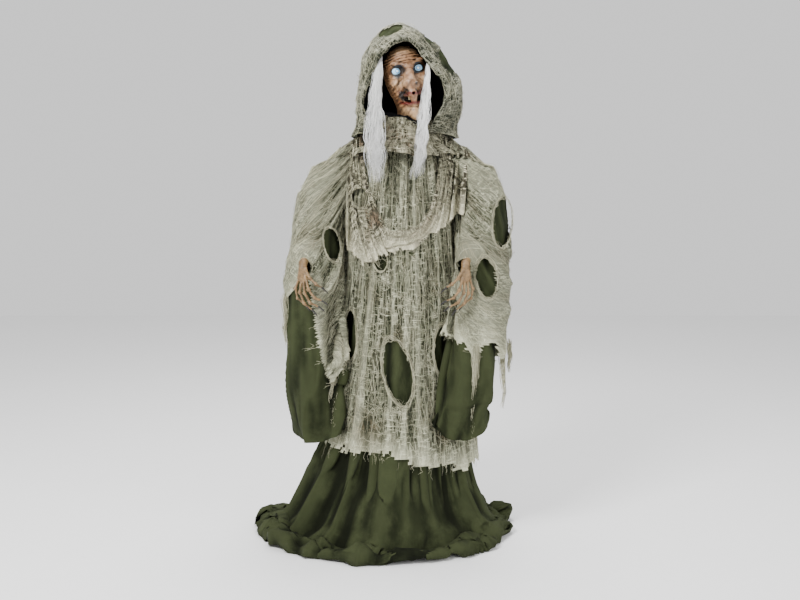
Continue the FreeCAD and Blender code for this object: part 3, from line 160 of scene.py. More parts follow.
def resample(points, rows, cols, loop):
    """A finer grid through the same cloth, by cubic interpolation."""

    def along(p, count, wrap):
        n = p.shape[0]
        at = np.arange(count) * (n / count) if wrap else np.linspace(0, n - 1, count)
        k = np.floor(at).astype(int)
        k = k if wrap else np.minimum(k, n - 2)
        f = (at - k)[:, None, None]
        pick = (lambda q: p[q % n]) if wrap else (lambda q: p[np.clip(q, 0, n - 1)])
        a, b, c, d = pick(k - 1), pick(k), pick(k + 1), pick(k + 2)
        return b + 0.5 * f * (c - a + f * (2 * a - 5 * b + 4 * c - d + f * (3 * (b - c) + d - a)))

    p = along(points, rows, False)
    return along(p.transpose(1, 0, 2), cols, loop).transpose(1, 0, 2)


def grid_normals(points, loop):
    if loop:
        across = np.roll(points, -1, 1) - np.roll(points, 1, 1)
    else:
        across = np.gradient(points, axis=1)
    down = np.gradient(points, axis=0)
    return normalised(np.cross(across, down))


# ---------------------------------------------------------------- cloth
class Cloth:
    """Cloth as a grid: rows run down, columns run across and may close into a loop."""

    def __init__(self, points, width, length, loop, pinned, bend=0.15, shear=0.35):
        self.p = points.copy()
        self.v = np.zeros_like(points)
        self.loop, self.pinned = loop, pinned
        rows, cols = points.shape[:2]
        across = (np.asarray(width) if np.ndim(width) else np.full(rows, width)) / (cols if loop else cols
                - 1)
        down = length / (rows - 1)
        self.free = np.where(pinned, 0.0, 1.0).ravel()
        self.sets = []
        index = np.arange(rows * cols).reshape(rows, cols)

        def add(a, b, rest, stiffness, order):
            for colour in order:
                chosen = colour.ravel()
                ia, ib = a.ravel()[chosen], b.ravel()[chosen]
                wa, wb = self.free[ia], self.free[ib]
                total = wa + wb
                live = total > 0
                self.sets.append((ia[live], ib[live], np.broadcast_to(rest, a.shape).ravel()[chosen][live],
                                  (stiffness * wa / np.maximum(total, 1))[live][:, None],
                                  (stiffness * wb / np.maximum(total, 1))[live][:, None]))

        def shifted(di, dj):
            a = index[: rows - di] if loop else index[: rows - di,
                                                      : cols - dj] if dj >= 0 else index[: rows - di, -dj:]
            if loop:
                b = np.roll(index, -dj, 1)[di:]
            else:
                b = index[di:, dj:] if dj >= 0 else index[di:, : cols + dj]
            ii, jj = np.meshgrid(np.arange(a.shape[0]), np.arange(a.shape[1]), indexing="ij")
            return a, b, ii, jj

        a, b, ii, jj = shifted(0, 1)
        add(a, b, across[:, None], 1.0, [jj % 2 == 0, jj % 2 == 1])
        a, b, ii, jj = shifted(1, 0)
        add(a, b, down, 1.0, [ii % 2 == 0, ii % 2 == 1])
        diagonal = np.sqrt(across[:-1, None] ** 2 + down**2)
        for dj in (1, -1):
            a, b, ii, jj = shifted(1, dj)
            add(a, b, diagonal, shear, [ii % 2 == 0, ii % 2 == 1])
        a, b, ii, jj = shifted(0, 2)
        add(a, b, 2 * across[:, None], bend, [jj % 4 < 2, jj % 4 >= 2])
        a, b, ii, jj = shifted(2, 0)
        add(a, b, 2 * down, bend, [ii % 4 < 2, ii % 4 >= 2])

    def run(self, steps, collide, dt=0.004, drag=0.02):
        p, v = self.p.reshape(-1, 3), self.v.reshape(-1, 3)
        fixed = self.pinned.ravel()
        free = ~fixed[:, None]
        for _ in range(steps):
            before = p.copy()
            v[:, 2] -= GRAVITY * dt
            v *= 1 - drag
            p += np.where(free, v * dt, 0)
            for ia, ib, rest, wa, wb in self.sets:
                d = p[ib] - p[ia]
                long = np.sqrt(np.einsum("ij,ij->i", d, d)) + 1e-9
                move = d * ((long - rest) / long)[:, None]
                p[ia] += wa * move
                p[ib] -= wb * move
            touched = collide(p, before)
            p[fixed] = before[fixed]
            v[:] = (p - before) / dt
            if touched is not None:
                v[touched] *= RUBBED_SPEED
        self.p = p.reshape(self.p.shape)
        return self.p


def floor_contact(p, before, height=0.0015):
    low = p[:, 2] < height
    p[low, 2] = height
    p[low, :2] = before[low, :2] + 0.35 * (p[low, :2] - before[low, :2])
    return low


class Envelope:
    """The outside of an inner garment, as a radius round the pole for each direction and height."""

    def __init__(self, points, gap, z_low, z_high, bins=(90, 144)):
        self.low, self.high, self.bins = z_low, z_high, bins
        self.radius = np.zeros(bins)
        p = points.reshape(-1, 3)
        radius = np.hypot(p[:, 0], p[:, 1]) + gap
        i = np.clip(((p[:, 2] - z_low) / (z_high - z_low) * bins[0]).astype(int), 0, bins[0] - 1)
        j = ((np.arctan2(p[:, 1], p[:, 0]) / TAU % 1) * bins[1]).astype(int) % bins[1]
        inside = (p[:, 2] > z_low) & (p[:, 2] < z_high)
        np.maximum.at(self.radius, (i[inside], j[inside]), radius[inside])
        for _ in range(6):
            hole = self.radius == 0
            spread = np.maximum(np.maximum(np.roll(self.radius, 1, 1), np.roll(self.radius, -1, 1)),
                                np.maximum(np.vstack([self.radius[1:], self.radius[-1:]]),
                                           np.vstack([self.radius[:1], self.radius[:-1]])))
            self.radius = np.where(hole, spread, self.radius)
        wide = np.maximum(self.radius, np.maximum(np.roll(self.radius, 1, 1), np.roll(self.radius, -1, 1)))
        self.radius = 0.5 * self.radius + 0.25 * wide + 0.125 * (np.roll(wide, 1, 1) + np.roll(wide, -1, 1))

    def at(self, p):
        fi = np.clip((p[:, 2] - self.low) / (self.high - self.low) * self.bins[0] - 0.5, 0,
                     self.bins[0] - 1.001)
        fj = (np.arctan2(p[:, 1], p[:, 0]) / TAU % 1) * self.bins[1] - 0.5
        i, j = np.floor(fi).astype(int), np.floor(fj).astype(int)
        a, b = fi - i, fj - j
        j0, j1 = j % self.bins[1], (j + 1) % self.bins[1]
        top = (1 - b) * self.radius[i, j0] + b * self.radius[i, j1]
        low = (1 - b) * self.radius[i + 1, j0] + b * self.radius[i + 1, j1]
        return (1 - a) * top + a * low

    def push(self, p, margin=0.0):
        radius = np.hypot(p[:, 0], p[:, 1])
        need = self.at(p) + margin
        inside = (radius < need) & (p[:, 2] > self.low) & (p[:, 2] < self.high)
        grow = np.where(inside, need / np.maximum(radius, 1e-6), 1)
        p[:, :2] *= grow[:, None]
        return inside


def push_from_capsule(p, a, b, radius):
    a, b = np.asarray(a, float), np.asarray(b, float)
    along = b - a
    t = np.clip(((p - a) @ along) / (along @ along), 0, 1)
    near = a + t[:, None] * along
    d = p - near
    long = np.linalg.norm(d, axis=1)
    inside = long < radius
    p[inside] = near[inside] + d[inside] / np.maximum(long[inside], 1e-6)[:, None] * radius
    return inside


def rings(z, cx, cy, rx, ry, cols):
    """Rows of ovals. Column 0 is at the back; columns run by the figure's left to the front."""
    angle = TAU * np.arange(cols) / cols
    z, cx, cy, rx, ry = (np.asarray(q, float)[:, None] for q in (z, cx, cy, rx, ry))
    return np.stack([cx + rx * np.sin(angle), cy + ry * np.cos(angle), z + 0 * angle], -1)


def gather(points, seed, folds, depth, drift=0.35):
    """Starts folds in a garment: each column moves in or out, and the folds wander as they run down."""
    rows, cols = points.shape[:2]
    angle = TAU * np.arange(cols) / cols
    down = np.linspace(0, 1, rows)[:, None]
    circle = np.stack([np.cos(angle), np.sin(angle)], -1)[None] * folds / TAU * 2.2
    circle = np.repeat(circle, rows, 0)
    at = np.concatenate([circle, np.repeat(down, cols, 1)[..., None] * drift * folds / 6], -1)
    centre = points.mean(1, keepdims=True)
    out = points - centre
    out[..., 2] = 0
    return points + normalised(out) * (noise(at, 1, seed) * np.asarray(depth).reshape(-1, 1))[..., None]


# ---------------------------------------------------------------- garments
class Form:
    """The stuffing inside a garment: ovals down its length, which the cloth can't enter."""

    def __init__(self, rows, share=0.85):
        # each row: height, centre x, centre y, half width, half depth
        self.rows, self.share = rows, share

    def push(self, p):
        cx, cy, rx, ry = table(p[:, 2], self.rows)
        rx, ry = rx * self.share, ry * self.share
        dx, dy = p[:, 0] - cx, p[:, 1] - cy
        r = np.sqrt((dx / rx) ** 2 + (dy / ry) ** 2)
        inside = (r < 1) & (p[:, 2] < self.rows[0][0]) & (p[:, 2] > self.rows[-1][0])
        grow = np.where(inside, 1 / np.maximum(r, 1e-6), 1)
        p[:, 0] = cx + dx * grow
        p[:, 1] = cy + dy * grow
        return inside


def cut_of(points, loop):
    """The flat cut of shaped cloth: its width at each row and its length."""
    nxt = np.roll(points, -1, 1) if loop else points[:, 1:]
    base = points if loop else points[:, :-1]
    widths = np.linalg.norm(nxt - base, axis=-1).sum(1)
    length = np.linalg.norm(np.diff(points, axis=0), axis=-1).sum(0).mean()
    return points, widths, float(length)


def crease(points, loop, folds, depth, seed):
    """Presses soft upright folds into cloth that is already hung."""
    rows, cols = points.shape[:2]
    angle = TAU * np.arange(cols) / cols
    ring = np.stack([np.cos(angle), np.sin(angle)], -1)[None] * folds / TAU * 2.0
    down = np.repeat(np.linspace(0, 1, rows)[:, None], cols, 1)[..., None]
    at = np.concatenate([np.repeat(ring, rows, 0), down * 1.7], -1)
    fold = 1 - 2 * np.abs(noise(at, 1, seed)) ** 0.7
    fold = fold + 0.35 * noise(at * (3.1, 3.1, 4.0), 1, seed + 1)
    return points + grid_normals(points, loop) * (fold * depth)[..., None]


def perimeter(rx, ry):
    return math.pi * (3 * (rx + ry) - np.sqrt((3 * rx + ry) * (rx + 3 * ry)))


def hang(start, width, length, collide, stages, loop=True, hold=None, bend=0.2):
    """Simulates a hanging garment on ever finer grids. stages holds rows, columns and steps."""
    points = start
    for k, (rows, cols, steps) in enumerate(stages):
        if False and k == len(stages) - 1 and k > 0:
            break
        if k:
            points = resample(points, rows, cols, loop)
        pinned = np.zeros((rows, cols), bool)
        if hold is None:
            pinned[0] = True
        else:
            hold(pinned)
        share = np.linspace(0, 1, rows)
        width_now = np.interp(share, np.linspace(0, 1, len(width)), width)
        cloth = Cloth(points, width_now, length, loop, pinned, bend=bend)
        points = cloth.run(steps, collide)
    return points


ROBE_FORM = [
    (0.985, 0, 0, 0.160, 0.160), (0.600, 0, 0, 0.215, 0.183), (0.300, -0.025, 0, 0.275, 0.215),
    (0.170, -0.045, -0.02, 0.325, 0.27), (0.060, -0.05, -0.03, 0.385, 0.33),
    (0.004, -0.053, -0.036, 0.425, 0.37),
]
# The middle and the half sizes of the oval that the train keeps to on the floor.
TRAIN_CENTRE, TRAIN_REACH = (-0.060, -0.037), (0.432, 0.378)


def robe_cloth():
    """The green skirt and its train, from the hoop to the floor."""
    rows, cols = 49, 128
    length = 1.27
    form = Form(ROBE_FORM, 0.86)
    share = np.linspace(0, 1, rows)
    line = np.array(ROBE_FORM)
    steps = np.hypot(np.diff(line[:, 0]), np.diff(line[:, 3]))
    place = np.concatenate([[0], np.cumsum(steps)])
    z, cx, cy, rx, ry = (np.interp(share, place / place[-1], line[:, k]) for k in range(5))
    start = gather(rings(z, cx, cy, rx, ry, cols), 3, 13, 0.012 + 0.05 * share)
    start[..., 2] += 0.03 * share[:, None]
    width = perimeter(rx, ry) * (1.10 + 0.22 * share)

    def collide(p, before):
        form.push(p)
        low = p[:, 2] < 0.12
        reach = np.hypot((p[:, 0] - TRAIN_CENTRE[0]) / TRAIN_REACH[0],
                         (p[:, 1] - TRAIN_CENTRE[1]) / TRAIN_REACH[1])
        back = np.where(low & (reach > 1), 1 / np.maximum(reach, 1e-6), 1)
        p[:, 0] = TRAIN_CENTRE[0] + (p[:, 0] - TRAIN_CENTRE[0]) * back
        p[:, 1] = TRAIN_CENTRE[1] + (p[:, 1] - TRAIN_CENTRE[1]) * back
        return floor_contact(p, before)

    points = hang(start, width, length, collide, [(49, 128, 130), (81, 256, 60), (121, 400, 24)], bend=0.3)
    low = smooth(0.48, 0.26, points[..., 2])
    points = crease(points, True, 8, 0.036 * low, 41)
    train = smooth(0.10, 0.02, points[..., 2])
    ripple = np.abs(noise(points * (1, 1, 0), 7.0, 43)) ** 0.8 * 0.042 + np.abs(noise(points * (1, 1, 0),
            16.0, 44)) * 0.010
    points[..., 2] = np.maximum(points[..., 2] + train * (ripple - 0.008), 0.002)
    return cut_of(points, True)


TUNIC_FORM = [
    (1.335, 0, 0, 0.100, 0.086), (1.290, 0, 0, 0.176, 0.110), (1.200, 0, 0, 0.186, 0.124),
    (1.080, 0, 0, 0.190, 0.150), (0.900, 0, 0, 0.207, 0.176), (0.600, 0, 0, 0.250, 0.203),
    (0.200, -0.015, -0.004, 0.305, 0.238),
]


def tunic_cloth(robe):
    """The long gauze tunic over the robe."""
    rows, cols = 49, 112
    length = 1.19
    form = Form(TUNIC_FORM, 0.93)
    share = np.linspace(0, 1, rows)
    z = np.interp(share, [0, 1], [1.335, 0.22])
    cx, cy, rx, ry = table(z, TUNIC_FORM)
    start = gather(rings(z, cx, cy, rx, ry, cols), 8, 15, 0.006 + 0.016 * share)
    width = perimeter(rx, ry) * (1.08 + 0.06 * share)

    def collide(p, before):
        form.push(p)
        low = p[:, 2] < 0.96
        q = p[low]
        robe.push(q, 0.006)
        p[low] = q
        return None

    points = hang(start, width, length, collide, [(49, 112, 110), (97, 224, 50), (145, 400, 16)], bend=0.25)
    return crease(points, True, 16, 0.0075, 51), width, length


# height, centre x, centre y, half width, half depth, fall of the outer edge
SLEEVE_ROWS = {
    "right": [
        (1.378, 0.150, 0.012, 0.068, 0.012, 0.62), (1.335, 0.185, 0.008, 0.090, 0.055, 0.60),
        (1.270, 0.238, 0.004, 0.098, 0.085, 0.38), (1.180, 0.284, -0.010, 0.084, 0.100, 0.18),
        (1.080, 0.300, -0.035, 0.086, 0.118, 0.08), (0.960, 0.305, -0.075, 0.096, 0.128, 0.03),
        (0.800, 0.306, -0.088, 0.100, 0.108, 0.0), (0.600, 0.306, -0.106, 0.096, 0.095, 0.0),
        (0.500, 0.304, -0.120, 0.082, 0.078, 0.0),
    ],
    "left": [
        (1.378, 0.150, 0.012, 0.068, 0.012, 0.62), (1.335, 0.185, 0.008, 0.090, 0.055, 0.60),
        (1.270, 0.236, 0.004, 0.098, 0.085, 0.38), (1.180, 0.276, -0.010, 0.080, 0.100, 0.18),
        (1.080, 0.286, -0.040, 0.082, 0.122, 0.08), (0.960, 0.280, -0.078, 0.090, 0.128, 0.03),
        (0.800, 0.266, -0.115, 0.096, 0.106, 0.0), (0.620, 0.244, -0.165, 0.094, 0.092, 0.0),
        (0.490, 0.222, -0.205, 0.086, 0.074, 0.0),
    ],
}
SIDES = {"right": -1, "left": 1}
SHOULDER_Z = 1.262
SHOULDER_X = 0.218
ELBOW = np.array([0.300, 0.005, 1.010])
WRIST = {"right": np.array([-0.327, -0.225, 0.955]), "left": np.array([0.204, -0.225, 0.955])}


def arm_line(name):
    side = SIDES[name]
    shoulder = np.array([side * SHOULDER_X, 0, SHOULDER_Z])
    return shoulder, ELBOW * (side, 1, 1), WRIST[name]


def sleeve_cloth(name, layer, torso):
    """A long sleeve, wide below the elbow; layer 0 is the green robe's and layer 1 the gauze over it."""
    side = SIDES[name]
    table_rows = np.array(SLEEVE_ROWS[name])
    grow = 0.012 * layer
    top, bottom = (0, 1.0) if layer else (0.16, 1.0)
    rows, cols = 41, 64
    length_line = np.concatenate([[0],
                                  np.cumsum(np.hypot(np.diff(table_rows[:, 0]), np.diff(table_rows[:, 2])))])
    share = np.linspace(top, bottom, rows)
    z, cx, cy, rx, ry, fall = (np.interp(share, length_line / length_line[-1], table_rows[:, k])
                               for k in range(6))
    rx, ry = rx + grow - 0.008, ry + grow - 0.008
    start = rings(z, cx, cy, rx, ry, cols)
    start[..., 2] -= fall[:, None] * (start[..., 0] - cx[:, None])
    start[..., 0] *= side
    if side < 0:
        start = np.roll(start[:, ::-1], 1, 1)
    depth = 0.002 + 0.018 * smooth(0.2, 0.8, share)
    start = gather(start, 21 + 5 * layer + (side > 0), 8, depth)
    width = perimeter(rx, ry) * (1.03 + 0.12 * smooth(0.25, 0.9, share))
    length = float(length_line[-1] * (bottom - top)) * 1.02
    mirrored = [(a, side * b, c, d + grow, e + grow) for a, b, c, d, e, _ in SLEEVE_ROWS[name]]
    form = Form(mirrored[3:], 0.80)
    shoulder, elbow, wrist = arm_line(name)

    def collide(p, before):
        form.push(p)
        push_from_capsule(p, shoulder, elbow, 0.044 + grow)
        push_from_capsule(p, elbow, elbow + 0.72 * (wrist - elbow), 0.034 + grow)
        low = p[:, 2] < 1.19
        q = p[low]
        was = q.copy()
        torso.push(q, 0.006 + grow)
        moved = q - was
        ahead = smooth(0.06, -0.02, was[:, 1])
        q[:, 0] = was[:, 0] + moved[:, 0] * (1 - 0.8 * ahead)
        q[:, 1] = was[:, 1] + moved[:, 1] * (1 - ahead) - 1.2 * ahead * np.hypot(moved[:, 0], moved[:, 1])
        p[low] = q
        return None

    def hold(pinned):
        pinned[: max(2, int(0.10 * pinned.shape[0]))] = True

    points = hang(start, width, length, collide, [(41, 64, 90), (81, 128, 40), (121, 192, 14)], hold=hold,
                  bend=0.25)
    points = crease(points, True, 4, 0.017 * smooth(1.20, 0.80, points[..., 2]) + 0.004, 61 + (side > 0))
    if not layer:
        across = (points[..., 0] - points[..., 0].mean(1, keepdims=True)) / 0.09
        points[..., 2] += 0.028 * across**2 * smooth(0.7, 1.0, np.linspace(0, 1, points.shape[0]))[:, None]
    return cut_of(points, True)


def fit_over(cloth, inner, name):
    """Lifts an outer sleeve clear of the one inside it."""
    rows = np.array(SLEEVE_ROWS[name])[::-1]

    def centre(z):
        return np.stack([SIDES[name] * np.interp(z, rows[:, 0], rows[:, 1]),
                         np.interp(z, rows[:, 0], rows[:, 2]), 0 * z], -1)

    middle = centre(inner[0][..., 2])
    space = Envelope(inner[0] - middle, 0.0, float(inner[0][..., 2].min()), 1.30)
    middle = centre(cloth[0][..., 2])
    points = (cloth[0] - middle).reshape(-1, 3)
    space.push(points, 0.004)
    return cut_of(points.reshape(cloth[0].shape) + middle, True)


def swag(torso, near, far, front, drop, widths, length, seed, stages, loose=(1.0, 1.0), gap=0.010, bend=0.12):
    """A sheet hung in swags between the shoulders. near and far are where its top and bottom corners are
    gathered, on the figure's left; loose is the share of each side that is held."""
    rows, cols, _ = stages[0]
    u = np.linspace(0, 1, cols)
    v = np.linspace(0, 1, rows)[:, None]
    angle = (u - 0.5) * math.pi
    end = np.array(near) + (np.array(far) - np.array(near)) * v[..., None]
    x = end[..., 0] * np.sin(angle)
    y = end[..., 1] + (front[0] + (front[1] - front[0]) * v - end[..., 1]) * np.cos(angle) ** 0.8
    z = end[..., 2] - (drop[0] + (drop[1] - drop[0]) * v**0.9) * np.cos(angle) ** 1.3
    start = np.stack([x, y, z], -1)
    wrinkle = noise(np.stack([u[None] * 5 + 0 * v, v * 9 + 0 * u[None]], -1), 1, seed) * 0.012
    start += wrinkle[..., None] * np.array([0, -1, 0.6])
    chest = Form(TUNIC_FORM, 1.0)

    def collide(p, before):
        chest.push(p)
        return torso.push(p, gap)

    def hold(pinned):
        count = pinned.shape[0]
        pinned[: int(count * loose[0]), :2] = True
        pinned[: int(count * loose[1]), -2:] = True

    widths = np.linspace(widths[0], widths[1], 8)
    points = hang(start, widths, length, collide, stages, loop=False, hold=hold, bend=bend)
    return points, widths, length


def cowl_cloth(torso):
    """The shawl that hangs in deep swags from shoulder to shoulder."""
    return swag(torso, (0.120, -0.030, 1.392), (0.225, -0.060, 1.315), (-0.13, -0.20), (0.07, 0.30),
                (0.50, 0.98),
                0.47, 4, [(40, 81, 150), (72, 161, 50), (110, 257, 16)], loose=(0.72, 1.0))


def frill(z, rx, ry, folds, depth, seed, cy=0.0):
    """A gathered ring of cloth round the neck."""
    rows, cols = 40, 260
    share = np.linspace(0, 1, rows)
    z, rx, ry = (np.interp(share, np.linspace(0, 1, len(q)), q) for q in (z, rx, ry))
    start = rings(z, 0 * z, 0 * z + cy, rx, ry, cols)
    points = gather(start, seed, folds, depth * (0.4 + share), drift=1.0)
    points = gather(points, seed + 1, folds * 2.4, depth * 0.5, drift=2.0)
    points[..., 2] += 0.010 * noise(points, 22, seed + 2) * share[:, None]
    points[..., 2] += 0.022 * noise(points * (1, 1, 0), 24, seed + 3) * (1 - share[:, None]) ** 2
    return cut_of(points, True)


# outline of the hood seen from the front, and of its opening, from the top down each side
HOOD_OUTLINE = {
    -1: [(-0.010, 1.750), (-0.059, 1.734), (-0.107, 1.700), (-0.130, 1.662), (-0.140, 1.625), (-0.146, 1.590),
         (-0.156, 1.550), (-0.162, 1.505), (-0.160, 1.465), (-0.153, 1.430), (-0.160, 1.400),
         (-0.176, 1.372)],
    1: [(-0.010, 1.750), (0.042, 1.734), (0.086, 1.702), (0.121, 1.668), (0.148, 1.630), (0.172, 1.595),
        (0.190, 1.555), (0.197, 1.510), (0.197, 1.465), (0.188, 1.430), (0.184, 1.400), (0.190, 1.370)],
}
HOOD_OPENING = {
    -1: [(0.005, 1.684), (-0.028, 1.672), (-0.058, 1.648), (-0.080, 1.620), (-0.094, 1.582), (-0.107, 1.548),
         (-0.126, 1.512), (-0.132, 1.475), (-0.126, 1.445), (-0.114, 1.425), (-0.106, 1.405),
         (-0.108, 1.385)],
    1: [(0.005, 1.684), (0.027, 1.676), (0.046, 1.658), (0.066, 1.628), (0.094, 1.592), (0.128, 1.556),
        (0.140, 1.514), (0.132, 1.475), (0.116, 1.448), (0.102, 1.425), (0.094, 1.405), (0.090, 1.385)],
}
HOOD_FRONT, HOOD_BACK = -0.108, 0.180


def hood_cloth(inside=0.0):
    """The hood, from the rim of its opening back to a seam behind the head.

    inside shrinks it for the lining."""
    rows, cols = 90, 181
    q = np.linspace(-1, 1, cols)
    side = np.where(q < 0, -1, 1)

    def along(lines):
        out = np.zeros((cols, 2))
        for s in (-1, 1):
            line = np.array(lines[s])
            at = np.abs(q[side == s]) * (len(line) - 1)
            k = np.minimum(at.astype(int), len(line) - 2)
            f = (at - k)[:, None]
            out[side == s] = line[k] * (1 - f) + line[k + 1] * f
        for _ in range(4):
            out[1:-1] = 0.25 * out[:-2] + 0.5 * out[1:-1] + 0.25 * out[2:]
        return out

    outline, rim = along(HOOD_OUTLINE), along(HOOD_OPENING)
    w = np.linspace(0, 1, rows)[:, None]
    t = np.clip(w / 0.38, 0, 1) * math.pi / 2
    back = np.clip((w - 0.38) / 0.62, 0, 1) * math.pi / 2
    x = rim[:, 0] + (outline[:, 0] - rim[:, 0]) * np.sin(t)
    z = rim[:, 1] + (outline[:, 1] - rim[:, 1]) * np.sin(t)
    lean = 0.03 * smooth(0.5, 1.0, np.abs(q))
    y = HOOD_FRONT + (lean - HOOD_FRONT) * (1 - np.cos(t))
    seam_x = 0.012
    seam_z = 1.64 - 0.27 * np.abs(q) ** 1.2
    x = seam_x + (x - seam_x) * np.cos(back) ** 0.9
    z = z + (seam_z - z) * (1 - np.cos(back))
    y = y + (HOOD_BACK - 0.02 * np.abs(q) - y) * np.sin(back)
    points = np.stack([x, y, z], -1)
    normal = grid_normals(points, False)
    if normal[45, 90, 2] < 0:
        normal = -normal
    grid = np.stack([np.repeat(q[None], rows, 0), np.repeat(w, cols, 1)], -1)
    folds = 0.007 * noise(grid * (3.0, 13.0), 1, 31) + 0.005 * noise(grid * (9.0, 6.0), 1, 32)
    folds += 0.0025 * noise(grid * (22.0, 30.0), 1, 33)
    folds *= smooth(0, 0.12, w)
    band = 0.009 * np.exp(-((w - 0.035) / 0.028) ** 2)
    ridge = 0.012 * np.exp(-((w - 0.24 - 0.16 * np.abs(grid[..., 0])) / 0.05) ** 2) * smooth(0.05, 0.3,
            grid[..., 0])
    return cut_of(points + normal * (folds + band + ridge - inside)[..., None], False)


# ---------------------------------------------------------------- sculpting
def surface_nets(field, low, step):
    """A closed mesh of quads where the sampled field changes sign; negative is inside."""
    inside = field < 0
    shape = np.array(field.shape)
    cell = [inside[i: shape[0] - 1 + i, j: shape[1] - 1 + j, k: shape[2] - 1 + k]
            for i in (0, 1) for j in (0, 1) for k in (0, 1)]
    count = sum(c.astype(np.int8) for c in cell)
    mixed = (count > 0) & (count < 8)
    where = np.argwhere(mixed)
    ids = np.full(mixed.shape, -1, np.int64)
    ids[mixed] = np.arange(len(where))
    total = np.zeros((len(where), 3))
    hits = np.zeros(len(where))
    corner = [np.array(c) for c in ((0, 0, 0), (0, 0, 1), (0, 1, 0), (0, 1, 1), (1, 0, 0), (1, 0, 1),
                                    (1, 1, 0), (1, 1, 1))]
    values = [field[tuple((where + c).T)] for c in corner]
    for a in range(8):
        for b in range(a + 1, 8):
            if np.abs(corner[a] - corner[b]).sum() != 1:
                continue
            va, vb = values[a], values[b]
            cross = (va < 0) != (vb < 0)
            t = np.where(cross, va / np.where(va == vb, 1, va - vb), 0)
            total += np.where(cross[:, None], corner[a] + t[:, None] * (corner[b] - corner[a]), 0)
            hits += cross
    verts = low + (where + total / hits[:, None]) * step
    quads = []
    for axis in range(3):
        o1, o2 = [(1, 2), (2, 0), (0, 1)][axis]
        first = np.take(inside, range(0, shape[axis] - 1), axis)
        second = np.take(inside, range(1, shape[axis]), axis)
        edge = np.argwhere(first != second)
        edge = edge[(edge[:, o1] > 0) & (edge[:, o2] > 0) & (edge[:, o1] < shape[o1] - 1)
                    & (edge[:, o2] < shape[o2] - 1)]
        forward = first[tuple(edge.T)]
        e1, e2 = np.eye(3, dtype=int)[o1], np.eye(3, dtype=int)[o2]
        q = np.stack([ids[tuple((edge - e1 - e2).T)], ids[tuple((edge - e2).T)], ids[tuple(edge.T)],
                      ids[tuple((edge - e1).T)]], -1)
        q[~forward] = q[~forward][:, ::-1]
        quads.append(q)
    quads = np.concatenate(quads)
    return verts, quads[(quads >= 0).all(1)]


def egg(p, centre, radii):
    """Distance, roughly, to an egg."""
    q = (p - np.array(centre)) / np.array(radii)
    long = np.sqrt((q * q).sum(-1))
    return (long - 1) * min(radii)


def capsule(p, a, b, ra, rb):
    a, b = np.array(a, float), np.array(b, float)
    d = b - a
    t = np.clip(((p - a) @ d) / (d @ d), 0, 1)
    return np.sqrt((((p - a) - t[..., None] * d) ** 2).sum(-1)) - (ra + (rb - ra) * t)


def join(a, b, soft):
    """Smooth union."""
    t = np.clip(0.5 + 0.5 * (b - a) / soft, 0, 1)
    return b + (a - b) * t - soft * t * (1 - t)


def carve(a, b, soft):
    """Smooth subtraction of b from a."""
    return -join(-a, b, soft)


def sample(low, high, step):
    axes = [np.arange(a, b, step) for a, b in zip(low, high)]
    return np.stack(np.meshgrid(*axes, indexing="ij"), -1).astype(np.float32)


def sculpt(make, low, high, step):
    p = sample(low, high, step)
    return surface_nets(make(p), np.array(low), step)


HEAD_PLACE = np.array([0.010, -0.027, 1.562])
HEAD_TILT, HEAD_YAW = math.radians(-10), math.radians(10)


def head_to_row(p):
    """From the head's own frame to the row frame."""
    c, s = math.cos(HEAD_TILT), math.sin(HEAD_TILT)
    x, y, z = p[..., 0] * c + p[..., 2] * s, p[..., 1], -p[..., 0] * s + p[..., 2] * c
    c, s = math.cos(HEAD_YAW), math.sin(HEAD_YAW)
    return np.stack([x * c - y * s, x * s + y * c, z], -1) + HEAD_PLACE


NOSE_SHIFT = -0.013


